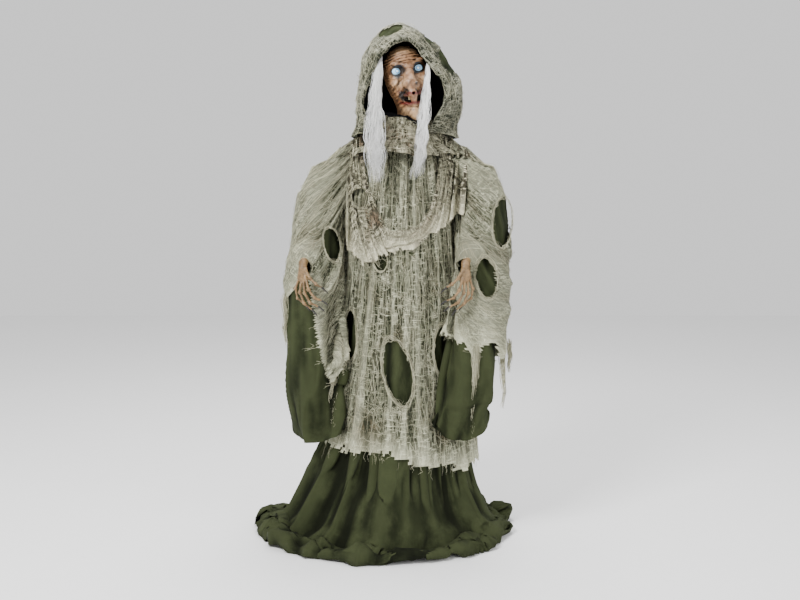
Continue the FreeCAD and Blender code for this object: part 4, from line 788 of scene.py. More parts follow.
def face_field(p):
    m = p.copy()
    m[..., 0] = np.abs(m[..., 0])
    f = egg(p, (0, 0.006, 0.030), (0.073, 0.082, 0.086))
    f = join(f, egg(p, (0, -0.014, -0.020), (0.064, 0.070, 0.075)), 0.02)
    f = join(f, egg(p, (0, -0.034, -0.078), (0.040, 0.044, 0.050)), 0.02)
    f = join(f, egg(p, (0.002, -0.064, -0.116), (0.018, 0.020, 0.023)), 0.018)
    f = join(f, egg(m, (0.046, -0.056, -0.008), (0.022, 0.026, 0.019)), 0.012)
    f = join(f, egg(m, (0.034, -0.056, -0.040), (0.018, 0.022, 0.022)), 0.014)
    f = join(f, capsule(m, (0.006, -0.090, 0.038), (0.048, -0.066, 0.056), 0.0125, 0.0075), 0.010)
    f = carve(f, egg(m, (0.0370, -0.082, 0.030), (0.0235, 0.026, 0.0175)), 0.006)
    f = join(f, capsule(m, (0.018, -0.078, 0.006), (0.052, -0.066, 0.012), 0.0045, 0.0035), 0.006)
    f = carve(f, capsule(m, (0.016, -0.096, -0.018), (0.046, -0.076, -0.062), 0.004, 0.005), 0.008)
    grin = p[..., 2] + 0.070 - 7.0 * p[..., 0] ** 2
    g = np.stack([p[..., 0], p[..., 1], grin], -1)
    f = carve(f, egg(g, (0.000, -0.090, 0.0), (0.041, 0.040, 0.0125)), 0.005)
    for side in (-1, 1):
        for low, thick in ((0.0155, 0.0048), (-0.0165, 0.0062)):
            f = join(f, capsule(g, (0, -0.083, low), (side * 0.022, -0.078, low), thick, thick), 0.004)
            f = join(f, capsule(g, (side * 0.022, -0.078, low), (side * 0.042, -0.060, 0), thick, 0.003),
                     0.004)
    side = p.copy()
    side[..., 0] = np.abs(p[..., 0] - NOSE_SHIFT)
    nose = capsule(p, (-0.003, -0.080, 0.040), (-0.009, -0.106, 0.012), 0.0125, 0.0180)
    nose = join(nose, capsule(p, (-0.009, -0.106, 0.012), (NOSE_SHIFT, -0.126, -0.020), 0.0180, 0.0225),
                0.008)
    nose = join(nose, capsule(p, (NOSE_SHIFT, -0.126, -0.020), (-0.012, -0.138, -0.056), 0.0205, 0.0140),
                0.008)
    nose = join(nose, capsule(p, (-0.012, -0.138, -0.056), (-0.009, -0.128, -0.090), 0.0130, 0.0080), 0.006)
    nose = join(nose, egg(side, (0.0240, -0.104, -0.028), (0.0145, 0.0160, 0.0145)), 0.004)
    nose = carve(nose, egg(side, (0.0140, -0.108, -0.044), (0.0060, 0.0080, 0.0070)), 0.003)
    nose = join(nose, egg(p, (0.004, -0.146, -0.024), (0.0060, 0.0060, 0.0060)), 0.0015)
    f = join(f, nose, 0.007)
    f = join(f, capsule(p, (0, 0.010, -0.080), (0, 0.020, -0.150), 0.044, 0.046), 0.02)
    # furrows: level ones on the forehead, slanting ones round the eyes and cheeks
    x, y, z = p[..., 0], p[..., 1], p[..., 2]
    front = smooth(0.02, -0.04, y)
    bend = noise(p, 26, 5) * 0.006
    level = np.sin((z + 1.6 * x * x + bend) * TAU / 0.0115)
    f = f - front * smooth(0.044, 0.056, z) * smooth(0.104, 0.080, z) * 0.0021 * level
    slant = np.sin((z * 0.75 + np.abs(x) * 0.55 + bend * 1.4) * TAU / 0.0120)
    low = smooth(0.004, -0.012, z) * smooth(-0.115, -0.09, z) * smooth(0.018, 0.032, np.abs(x))
    f = f - front * low * 0.0017 * slant
    fan = np.sin((z * 0.9 - np.abs(x) * 1.1 + bend) * TAU / 0.0085)
    f = f - front * smooth(0.052, 0.062, np.abs(x)) * 0.0012 * fan
    return f + 0.0009 * noise(p, 120, 8) + 0.0006 * noise(p, 260, 9)


def wrinkle_depth(p):
    """How deep in a furrow each point of the mask lies, from 0 to 1."""
    here = face_field(p[None, None])[0, 0]
    away = normalised(p - np.array([0, 0.02, -0.01]))
    out = face_field((p + away * 0.0035)[None, None])[0, 0] - here
    return np.clip((0.0030 - out) / 0.0030, 0, 1)


def face_tones(p):
    """How dark, how red and how pale the mask is at its points, in the head's own frame. The red lips, the
    wart and the brows are its paint; the rest of the dark is painted shade and the pale is painted highlight.
    """
    x, y, z = np.abs(p[:, 0]), p[:, 1], p[:, 2]
    front = smooth(0.0, -0.04, y)
    # painted shade in the eye sockets
    socket = np.exp(-(((x - 0.037) / 0.026) ** 2 + ((z - 0.030) / 0.020) ** 2) ** 1.6)
    brow = np.exp(-((z - 0.048 - 0.40 * x) / 0.007) ** 2) * smooth(0.065, 0.05, x) * 0.42
    # painted shade along the folds running down from the nose
    fold = np.exp(-((x - 0.018 - 0.68 * (-0.018 - z)) / 0.007) ** 2) * smooth(0.0, -0.02, z) * smooth(-0.075,
            -0.06, z) * 0.55
    # painted shade beside the nose
    beside = np.exp(-((np.abs(p[:, 0] - NOSE_SHIFT) - 0.027) / 0.0080) ** 2) * smooth(0.030, 0.012,
            z) * smooth(-0.062, -0.050, z)
    beside = beside * smooth(-0.112, -0.098, y) * 0.58
    # painted shade under the nose tip
    under = smooth(-0.046, -0.066, z) * smooth(-0.108, -0.116, y) * 0.24
    grin = z + 0.070 - 7.0 * x * x
    # painted shade inside the mouth
    mouth = np.exp(-((grin / 0.010) ** 2) ** 2) * smooth(0.044, 0.036, x) * smooth(-0.092, -0.070, y)
    wart = np.exp(-(((p[:, 0] - 0.004) / 0.006) ** 2 + ((z + 0.024) / 0.006) ** 2)) * smooth(-0.136, -0.142,
            y)
    off = np.abs(p[:, 0] - NOSE_SHIFT)
    # painted shade in the nostrils
    nostril = np.exp(-(((off - 0.014) / 0.006) ** 2 + ((z + 0.044) / 0.006) ** 2)) * 0.8
    # the wart and the brows are the mask's paint; sockets, folds, nose sides, under the nose, nostrils and
    # mouth are painted shade, and the darkening towards the back of the head is painted shade too
    dark = front * (socket + brow + fold + beside + under + wart + nostril + mouth) + smooth(0.03, 0.07,
            y) * 0.4
    red = front * np.exp(-((np.abs(grin) - 0.015) / 0.0055) ** 2) * smooth(0.050, 0.040, x)
    # painted highlights on the cheeks, the top of the forehead, the chin and the nose ridge
    pale = np.exp(-(((x - 0.046) / 0.018) ** 2 + ((z + 0.012) / 0.014) ** 2)) * 0.8
    pale = pale + smooth(0.072, 0.095, z) * 0.5 + smooth(-0.085, -0.105, z) * smooth(-0.15, -0.13, z) * 0.8
    pale = pale + np.exp(-((x / 0.009) ** 2 + ((z + 0.010) / 0.03) ** 2)) * smooth(-0.10, -0.12, y) * 0.15
    return {"dark": np.clip(dark, 0, 1), "red": np.clip(red, 0, 1), "pale": np.clip(front * pale, 0, 1)}


def face_mesh():
    step = 0.0018
    verts, quads = sculpt(face_field, (-0.088, -0.152, -0.152), (0.088, 0.098, 0.126), step)
    return verts, quads


HAND_CHAINS = [
    # inward, forward and down from the wrist, and the radius at each joint, all in millimetres
    [(8, 18, 22, 6.6), (24, 30, 48, 5.4), (44, 32, 68, 4.8), (64, 28, 80, 3.2)],
    [(10, 22, 50, 6.2), (20, 36, 86, 5.4), (40, 40, 112, 4.9), (64, 34, 122, 3.2)],
    [(3, 18, 54, 6.2), (6, 28, 96, 5.4), (24, 32, 128, 4.9), (52, 26, 142, 3.2)],
    [(-5, 12, 54, 6.0), (-10, 18, 96, 5.2), (4, 20, 132, 4.7), (30, 14, 154, 3.1)],
    [(-13, 6, 48, 5.4), (-25, 8, 84, 4.8), (-19, 8, 116, 4.2), (4, 4, 136, 2.9)],
]


def hand_points(name):
    side, wrist = SIDES[name], WRIST[name]
    chains = []
    for chain in HAND_CHAINS:
        chains.append([(wrist + np.array([-side * a, -b, -c]) / 1000, r / 1000) for a, b, c, r in chain])
    return chains


def hand_mesh(name):
    side, wrist = SIDES[name], WRIST[name]
    _, elbow, _ = arm_line(name)
    fore = (wrist - elbow) / np.linalg.norm(wrist - elbow)

    def at(a, b, c):
        return wrist + np.array([-side * a, -b, -c]) / 1000

    def field(p):
        f = capsule(p, wrist - fore * 0.050, wrist, 0.0155, 0.0130)
        for inward, forward in ((9, 21), (2, 16), (-6, 11), (-12, 6)):
            f = join(f, capsule(p, at(0, 4, 4), at(inward, forward, 50), 0.0115, 0.0072), 0.005)
        for chain in hand_points(name):
            for (a, ra), (b, rb) in zip(chain, chain[1:]):
                f = join(f, capsule(p, a, b, ra * 0.80, rb * 0.80), 0.003)
            for a, ra in chain[:-1]:
                f = join(f, egg(p, a, (ra * 1.22,) * 3), 0.003)
        ridge = np.sin((p[..., 2] + noise(p, 60, 3) * 0.004) * TAU / 0.0065)
        return f - 0.0007 * ridge + 0.0010 * noise(p, 110, 5)

    step = 0.0017
    points = np.array([q for chain in hand_points(name) for q, _ in chain] + [wrist - fore * 0.05])
    return sculpt(field, points.min(0) - 0.028, points.max(0) + 0.028, step)


# ---------------------------------------------------------------- strands: hair, threads and fringe
def strands(name, paths, radius, sides=3, tip=0.35):
    """Thin tubes along paths, an array of strands by points by xyz."""
    paths = np.asarray(paths, float)
    count, long = paths.shape[:2]
    tangent = normalised(np.gradient(paths, axis=1))
    up = np.where(np.abs(tangent[..., 2:3]) > 0.9, np.array([1.0, 0, 0]), np.array([0, 0, 1.0]))
    a = normalised(np.cross(tangent, up))
    b = np.cross(tangent, a)
    radius = np.broadcast_to(np.asarray(radius, float).reshape(-1, 1), (count, long)) * np.interp(
        np.linspace(0, 1, long), [0, 0.7, 1], [1, 0.9, tip])
    turn = TAU * np.arange(sides) / sides
    tube = (paths[:, :, None] + radius[:, :, None, None]
            * (a[:, :, None] * np.cos(turn)[:, None] + b[:, :, None] * np.sin(turn)[:, None]))
    i, j, k = np.meshgrid(np.arange(count), np.arange(long - 1), np.arange(sides), indexing="ij")
    n = (k + 1) % sides
    base = (i * long + j) * sides
    quads = np.stack([base + k, base + n, base + sides + n, base + sides + k], -1).reshape(-1, 4)
    cap = (np.arange(count)[:, None] * long * sides + np.arange(sides)[::-1])
    end = (np.arange(count)[:, None] * long * sides + (long - 1) * sides + np.arange(sides))
    shade = np.repeat(lattice(np.arange(count), 0, 7, 5) * 0.5 + 0.5, long * sides)
    return make_mesh(name, tube, [quads, cap, end], colours={"shade": shade})


def hair_paths(name, over):
    """Straight strands from under the hood down over the chest."""
    rng = np.random.default_rng(5 if name == "right" else 6)
    if name == "right":
        line = np.array([(-0.076, -0.080, 1.650), (-0.085, -0.118, 1.560), (-0.091, -0.150, 1.460),
                         (-0.092, -0.185, 1.370), (-0.090, -0.205, 1.290), (-0.084, -0.212, 1.212)])
        spread, count, tails = np.array([0.006, 0.010, 0.015, 0.021, 0.020, 0.012]), 230, (0.70, 1.0)
    else:
        line = np.array([(0.084, -0.080, 1.640), (0.080, -0.118, 1.560), (0.072, -0.150, 1.460),
                         (0.064, -0.185, 1.370), (0.054, -0.205, 1.290), (0.034, -0.212, 1.225)])
        spread, count, tails = np.array([0.002, 0.002, 0.003, 0.006, 0.010, 0.010]), 95, (0.72, 1.0)
    long = 26
    t = np.linspace(0, 1, long)
    place = rng.normal(0, 0.5, (count, 2)).clip(-1, 1)
    reach = rng.uniform(*tails, count) ** 0.7
    at = t[None] * reach[:, None] * (len(line) - 1)
    k = np.minimum(at.astype(int), len(line) - 2)
    f = (at - k)[..., None]
    core = line[k] * (1 - f) + line[k + 1] * f
    wide = spread[k] * (1 - f[..., 0]) + spread[k + 1] * f[..., 0]
    wave = noise(np.stack([at * 1.3, np.repeat(np.arange(count)[:, None] * 7.3, long, 1)], -1), 1, 12) * 0.011
    x = core[..., 0] + place[:, :1] * wide + wave * np.minimum(at, 2)
    y = core[..., 1] - place[:, 1:] * wide * 0.35 - 0.004
    paths = np.stack([x, y, core[..., 2]], -1)
    if over is not None:
        flat = paths.reshape(-1, 3)
        low = flat[:, 2] < 1.40
        q = flat[low]
        over.push(q, 0.005)
        flat[low] = q
        paths = flat.reshape(paths.shape)
    return paths


# ---------------------------------------------------------------- threads over cloth
def on_surface(points, normals, i, j, loop, lift):
    """Points at fractional grid places, raised off the cloth."""
    rows, cols = points.shape[:2]
    i = np.clip(i, 0, rows - 1.001)
    j = j % cols if loop else np.clip(j, 0, cols - 1.001)
    a, b = np.floor(i).astype(int), np.floor(j).astype(int) % cols
    u, v = (i - a)[..., None], (j - np.floor(j))[..., None]
    c = (b + 1) % cols if loop else np.minimum(b + 1, cols - 1)
    pick = lambda g: (1 - u) * ((1 - v) * g[a, b] + v * g[a, c]) + u * ((1 - v) * g[a + 1, b] + v
            * g[a + 1, c])
    return pick(points) + pick(normals) * lift[..., None]


def thread_paths(points, loop, count, reach, seed, keep=None, sideways=0.25, lift=0.0022, loopy=0.25,
                 where=None,
                 long=14):
    """Loose yarns that wander over the cloth: most run down it, and a share of them runs across."""
    rng = np.random.default_rng(seed)
    rows, cols = points.shape[:2]
    normals = grid_normals(points, loop)
    i0, j0 = rng.uniform(0, rows - 2, count * 3), rng.uniform(0, cols - 1, count * 3)
    if where is not None:
        good = where(points[i0.astype(int), j0.astype(int)])
        i0, j0 = i0[good], j0[good]
    i0, j0 = i0[:count], j0[:count]
    count = len(i0)
    t = np.linspace(0, 1, long)[None]
    run = reach * rng.uniform(0.5, 1.3, (count, 1))
    across = rng.uniform(0, 1, (count, 1)) < sideways
    wander = noise(np.stack([t * 3 + 0 * run, np.arange(count)[:, None] * 5.1 + 0 * t], -1), 1, seed)
    step_down, step_across = run / 1.0, run * cols / rows
    i = i0[:, None] + np.where(across, wander * 3.0, t * step_down)
    j = j0[:, None] + np.where(across, t * step_across * 0.6, wander * 2.6)
    if keep is not None:
        row = np.clip(i, 0, keep.shape[0] - 1).astype(int)
        column = j.astype(int) % keep.shape[1]
        gone = (~keep[row, column]).mean(1)
        held = gone < 0.10
        i, j, across, count = i[held], j[held], across[held], int(held.sum())
    up = rng.uniform(0.3, 1.0, (count, 1)) * lift
    loose = (rng.uniform(0, 1, (count, 1)) < loopy) * rng.uniform(0.002, 0.009, (count, 1))
    return on_surface(points, normals, i, j, loop, up + loose * np.sin(t * math.pi) ** 2 + 0 * i)


def torn(points, loop, holes=(), hem=None, seed=0, front_of=0.0):
    """Which quads of the cloth stay.

    holes are ovals seen from the front: x, z, half width, half height and lean in degrees; hem gives the
    height of the torn edge for points.
    """
    nxt = np.roll(points, -1, 1) if loop else points[:, 1:]
    base = points if loop else points[:, :-1]
    centre = (base[:-1] + base[1:] + nxt[:-1] + nxt[1:]) / 4
    keep = np.ones(centre.shape[:2], bool)
    rough = 0.28 * noise(centre, 45, seed) + 0.20 * noise(centre, 110, seed + 1)
    for x, z, rx, rz, lean in holes:
        c, n = math.cos(math.radians(lean)), math.sin(math.radians(lean))
        dx, dz = centre[..., 0] - x, centre[..., 2] - z
        u, v = (dx * c + dz * n) / rx, (dz * c - dx * n) / rz
        keep &= ~((u * u + v * v + rough < 1) & (centre[..., 1] < front_of))
    if hem is not None:
        keep &= centre[..., 2] > hem(centre) + 0.05 * rough
    return keep


def rim_paths(points, loop, holes, seed, front_of=0.0, count=34, long=40):
    """Frayed yarns bunched round the edge of each hole."""
    rng = np.random.default_rng(seed)
    normals = grid_normals(points, loop).reshape(-1, 3)
    flat = points.reshape(-1, 3)
    front = flat[:, 1] < front_of
    flat, normals = flat[front], normals[front]
    out = []
    for x, z, rx, rz, lean in holes:
        near = np.hypot(flat[:, 0] - x, flat[:, 2] - z) < 1.9 * max(rx, rz)
        spot, up = flat[near], normals[near]
        if len(spot) < 30:
            continue
        c, n = math.cos(math.radians(lean)), math.sin(math.radians(lean))
        for k in range(count):
            first = rng.uniform(0, TAU)
            angle = first + np.linspace(0, rng.uniform(0.8, 3.6), long)
            wander = noise(np.stack([np.cos(angle), np.sin(angle)], -1) * 5, 1, seed + k)
            grow = rng.uniform(0.98, 1.16) + 0.07 * wander + rng.uniform(-0.10, 0.10) * np.linspace(0, 1,
                    long)
            u, v = np.cos(angle) * rx * grow, np.sin(angle) * rz * grow
            at = np.stack([x + u * c - v * n, z + v * c + u * n], -1)
            far = (spot[None, :, 0] - at[:, None, 0]) ** 2 + (spot[None, :, 2] - at[:, None, 1]) ** 2
            best = far.argmin(1)
            lift = 0.001 + 0.003 * rng.uniform()
            if far.min(1).max() > 0.016**2:
                continue
            line = np.stack([at[:, 0], spot[best, 1], at[:, 1]], -1) + up[best] * lift
            line[1:-1] = 0.25 * line[:-2] + 0.5 * line[1:-1] + 0.25 * line[2:]
            out.append(line)
    return np.array(out)


def shred_paths(points, shreds, seed, front_of=0.0, count=70, long=40):
    """Bunches of torn yarn that hang down over the front of points: x, top, bottom and half width of each."""
    rng = np.random.default_rng(seed)
    flat = points.reshape(-1, 3)
    flat = flat[flat[:, 1] < front_of]
    t = np.linspace(0, 1, long)
    out = []
    for x, top, bottom, wide in shreds:
        spot = flat[np.abs(flat[:, 0] - x) < 3 * wide + 0.02]
        for k in range(count):
            start = top + rng.uniform(0.0, 0.03)
            end = bottom + (top - bottom) * rng.uniform(0, 0.75) ** 1.5
            z = start + (end - start) * t
            share = np.clip((top - z) / (top - bottom), 0, 1)
            off = rng.normal(0, 0.5) * wide * (1.3 - 0.8 * share) + 0.004 * noise(np.stack([t * 4, t * 0 + k],
                    -1), 1, seed)
            off = off + 0.006 * noise(np.stack([share * 3, share * 0 + x * 40], -1), 1, seed + 1)
            best = ((spot[None, :, 0] - (x + off)[:, None]) ** 2
                    + (spot[None, :, 2] - z[:, None]) ** 2).argmin(1)
            y = spot[best, 1] - 0.004 - 0.007 * rng.uniform()
            for _ in range(3):
                y[1:-1] = 0.25 * y[:-2] + 0.5 * y[1:-1] + 0.25 * y[2:]
            out.append(np.stack([x + off, y, z], -1))
    return np.array(out)


def fold_depth(points, loop):
    """How deep in a fold each point of a cloth lies, and how far out on a ridge, from 0 to 1."""
    cols = points.shape[1]
    normals = grid_normals(points, loop)
    total = np.zeros(points.shape[:2])
    for reach, full in ((3, 0.0030), (8, 0.010), (16, 0.026)):
        near = np.arange(cols)[:, None] + np.arange(-reach, reach + 1)
        near = near % cols if loop else np.clip(near, 0, cols - 1)
        total += ((points[:, near].mean(2) - points) * normals).sum(-1) / full
    # crease darkens the cloth finishes as painted shade in the fold valleys; ridge lightens them as painted
    # highlight on the fold tops
    return {"crease": np.clip(total, 0, 1), "ridge": np.clip(-total - 0.1, 0, 1)}


# ---------------------------------------------------------------- materials
class Finish:
    """A material built up from nodes round one shader."""

    def __init__(self, name, rough=0.8, **sockets):
        self.material = bpy.data.materials.new(name)
        self.material.use_nodes = True
        self.tree = self.material.node_tree
        self.shader = self.tree.nodes["Principled BSDF"]
        self.shader.inputs["Roughness"].default_value = rough
        for key, value in sockets.items():
            self.shader.inputs[key.replace("_", " ")].default_value = value

    def node(self, kind, **inputs):
        node = self.tree.nodes.new(kind)
        for key, value in inputs.items():
            self.set(node, key.replace("_", " "), value)
        return node

    def set(self, node, key, value):
        key = int(key) if isinstance(key, str) and key.isdigit() else key
        if isinstance(value, bpy.types.NodeSocket):
            self.tree.links.new(value, node.inputs[key])
        else:
            node.inputs[key].default_value = value

    def place(self, uv=False):
        if uv:
            node = self.node("ShaderNodeUVMap")
            node.uv_map = "weave"
            return node.outputs[0]
        return self.node("ShaderNodeTexCoord").outputs["Object"]

    def stretch(self, vector, scale):
        node = self.node("ShaderNodeMapping", Vector=vector)
        node.inputs["Scale"].default_value = scale
        return node.outputs[0]

    def grain(self, vector, scale, detail=3.0, rough=0.55):
        return self.node("ShaderNodeTexNoise", Vector=vector, Scale=scale, Detail=detail,
                         Roughness=rough).outputs[0]

    def math(self, operation, a, b=0.0):
        node = self.tree.nodes.new("ShaderNodeMath")
        node.operation = operation
        self.set(node, 0, a)
        self.set(node, 1, b)
        return node.outputs[0]

    def span(self, value, low, high, to_low=0.0, to_high=1.0):
        node = self.tree.nodes.new("ShaderNodeMapRange")
        node.interpolation_type = "SMOOTHSTEP"
        for key, v in zip((0, 1, 2, 3, 4), (value, low, high, to_low, to_high)):
            self.set(node, key, v)
        return node.outputs[0]

    def mix(self, factor, a, b):
        node = self.tree.nodes.new("ShaderNodeMix")
        node.data_type = "RGBA"
        self.set(node, 0, factor)
        for key, colour in ((6, a), (7, b)):
            self.set(node, key, colour if isinstance(colour, bpy.types.NodeSocket) else (*colour, 1))
        return node.outputs[2]

    def value(self, name):
        node = self.tree.nodes.new("ShaderNodeAttribute")
        node.attribute_name = name
        return node.outputs["Fac"]

    def finish(self, colour, height=None, distance=0.001, strength=0.6, rough=None):
        self.set(self.shader, "Base Color",
                 colour if isinstance(colour, bpy.types.NodeSocket) else (*colour, 1))
        if height is not None:
            bump = self.node("ShaderNodeBump", Height=height, Distance=distance, Strength=strength)
            self.tree.links.new(bump.outputs[0], self.shader.inputs["Normal"])
        if rough is not None:
            self.tree.links.new(rough, self.shader.inputs["Roughness"])
        return self.material


def gauze_finish(name, gap, yarn, pale, stain):
    """Open, uneven weave: thick and thin yarns over dark gaps, with stained and bleached patches, painted
    highlight on the fold tops and painted shade in the fold valleys.
    """
    f = Finish(name, 0.95, Specular_IOR_Level=0.15)
    place = f.place(uv=True)
    shift = f.node("ShaderNodeTexNoise", Vector=place, Scale=38.0, Detail=2.0).outputs[1]
    scaled = f.node("ShaderNodeVectorMath")
    scaled.operation = "MULTIPLY_ADD"
    f.set(scaled, 0, shift)
    f.set(scaled, 1, (0.014, 0.014, 0.0))
    f.set(scaled, 2, place)
    split = f.node("ShaderNodeSeparateXYZ", Vector=scaled.outputs[0])
    warp = f.math("ABSOLUTE", f.math("SINE", f.math("MULTIPLY", split.outputs[0], math.pi / 0.0038)))
    weft = f.math("ABSOLUTE", f.math("SINE", f.math("MULTIPLY", split.outputs[1], math.pi / 0.0046)))
    thick = f.span(f.grain(f.stretch(place, (1, 0.22, 1)), 135.0, 2.0), 0.34, 0.62)
    thin = f.span(f.grain(f.stretch(place, (0.22, 1, 1)), 120.0, 2.0), 0.40, 0.66)
    height = f.math("MAXIMUM", f.math("MULTIPLY", warp, thick), f.math("MULTIPLY", weft, thin))
    cover = f.math("MAXIMUM", f.span(height, 0.42, 0.80), f.math("MULTIPLY", f.value("pale"), 0.6))
    patch = f.span(f.grain(place, 9.0, 4.0), 0.40, 0.62)
    tone = f.mix(patch, yarn, pale)
    tone = f.mix(f.span(f.grain(place, 5.0, 3.0), 0.52, 0.68), tone, stain)
    tone = f.mix(f.span(f.grain(place, 420.0, 2.0), 0.3, 0.7, 0.0, 0.35), tone, gap)
    tone = f.mix(f.math("MULTIPLY", f.value("pale"), 0.75), tone, tuple(1.12 * c for c in pale))
    # painted highlight: fold ridges turn paler
    cloth = f.mix(f.math("MULTIPLY", f.value("ridge"), 0.22), f.mix(cover, gap, tone), pale)
    # painted shade: fold valleys darken towards the gap colour
    cloth = f.mix(f.math("MULTIPLY", f.value("crease"), 0.72), cloth, gap)
    return f.finish(cloth, height, 0.0022, 0.9)


def linen_finish(name, base, light, pitch=0.0011):
    """Plain woven cloth with slubs and worn patches, painted highlight on the fold tops and painted shade in
    the fold valleys.
    """
    f = Finish(name, 0.95, Specular_IOR_Level=0.12)
    place = f.place(uv=True)
    split = f.node("ShaderNodeSeparateXYZ", Vector=place)
    warp = f.math("ABSOLUTE", f.math("SINE", f.math("MULTIPLY", split.outputs[0], math.pi / pitch)))
    weft = f.math("ABSOLUTE", f.math("SINE", f.math("MULTIPLY", split.outputs[1], math.pi / pitch)))
    slub = f.grain(f.stretch(place, (1, 14, 1)), 60.0, 3.0)
    weave = f.math("ADD", f.math("MULTIPLY", warp, weft), slub)
    worn = f.math("MULTIPLY", f.span(f.grain(place, 7.0, 5.0, 0.65), 0.38, 0.72),
                  f.span(slub, 0.2, 0.8, 0.5, 1.0))
    # painted highlight on the fold ridges
    cloth = f.mix(f.math("MULTIPLY", f.value("ridge"), 0.6), f.mix(worn, base, light), light)
    # painted shade in the fold valleys
    cloth = f.mix(f.math("MULTIPLY", f.value("crease"), 0.85), cloth, tuple(0.3 * c for c in base))
    return f.finish(cloth, weave, 0.0005, 0.5)


def skin_finish(name, base, deep, light, wet=0.42):
    """Painted latex, with painted shade in the creases and painted highlights on the high spots."""
    f = Finish(name, wet)
    place = f.place()
    mottled = f.mix(f.span(f.grain(place, 55.0, 4.0), 0.35, 0.68), base, deep)
    streak = f.grain(f.stretch(place, (1, 1, 3.2)), 120.0, 4.0, 0.65)
    tone = f.mix(f.span(streak, 0.50, 0.72, 0.0, 0.55), mottled, deep)
    # pale: painted highlights on the mask; random mottling on the hands
    tone = f.mix(f.math("MULTIPLY", f.value("pale"), 0.85), tone, light)
    # painted shade in the furrows
    tone = f.mix(f.span(f.value("crease"), 0.25, 0.9), tone, tuple(0.25 * c for c in deep))
    tone = f.mix(f.value("red"), tone, (0.10, 0.008, 0.006))
    # dark: painted shade, together with the wart and brows
    tone = f.mix(f.span(f.value("dark"), 0.15, 0.85), tone, (0.014, 0.007, 0.004))
    pores = f.grain(place, 900.0, 2.0)
    return f.finish(tone, f.math("ADD", pores, f.math("MULTIPLY", streak, 0.8)), 0.0006, 0.5)


def yarn_finish(name, dull, bright, rough=0.9):
    f = Finish(name, rough, Sheen_Weight=0.1)
    fibre = f.grain(f.place(), 900.0, 2.0)
    tone = f.mix(f.span(f.value("shade"), 0.1, 0.95), dull, bright)
    return f.finish(f.mix(f.span(fibre, 0.35, 0.75, 0.0, 0.35), tone, tuple(0.5 * c for c in dull)), fibre,
                    0.0003, 0.4)


def hard_finish(name, base, worn, rough, metal=0.0, grain=220.0, stretch=(1, 1, 1), depth=0.0002):
    """Moulded, turned or painted parts, with scuffs and uneven gloss."""
    f = Finish(name, rough, Metallic=metal)
    place = f.stretch(f.place(), stretch)
    fine, broad = f.grain(place, grain, 3.0), f.grain(place, 14.0, 5.0, 0.7)
    tone = f.mix(f.span(broad, 0.52, 0.78), base, worn)
    uneven = f.span(fine, 0.2, 0.8, max(rough - 0.12, 0.05), min(rough + 0.15, 1.0))
    return f.finish(tone, fine, depth, 0.5, uneven)


def eye_finish():
    """A lit dome: pale blue with a darker rim and a bright pupil."""
    f = Finish("eye glow", 0.12)
    ring = f.value("polar")
    tone = f.mix(f.span(ring, 0.20, 0.34), (0.80, 0.93, 1.0), (0.12, 0.34, 0.62))
    tone = f.mix(f.span(ring, 0.42, 0.62), tone, (0.42, 0.68, 0.88))
    tone = f.mix(f.span(f.grain(f.place(), 260.0, 3.0), 0.4, 0.7, 0.0, 0.3), tone, (0.25, 0.5, 0.75))
    f.tree.links.new(tone, f.shader.inputs["Emission Color"])
    f.shader.inputs["Emission Strength"].default_value = 0.45
    return f.finish(tone)


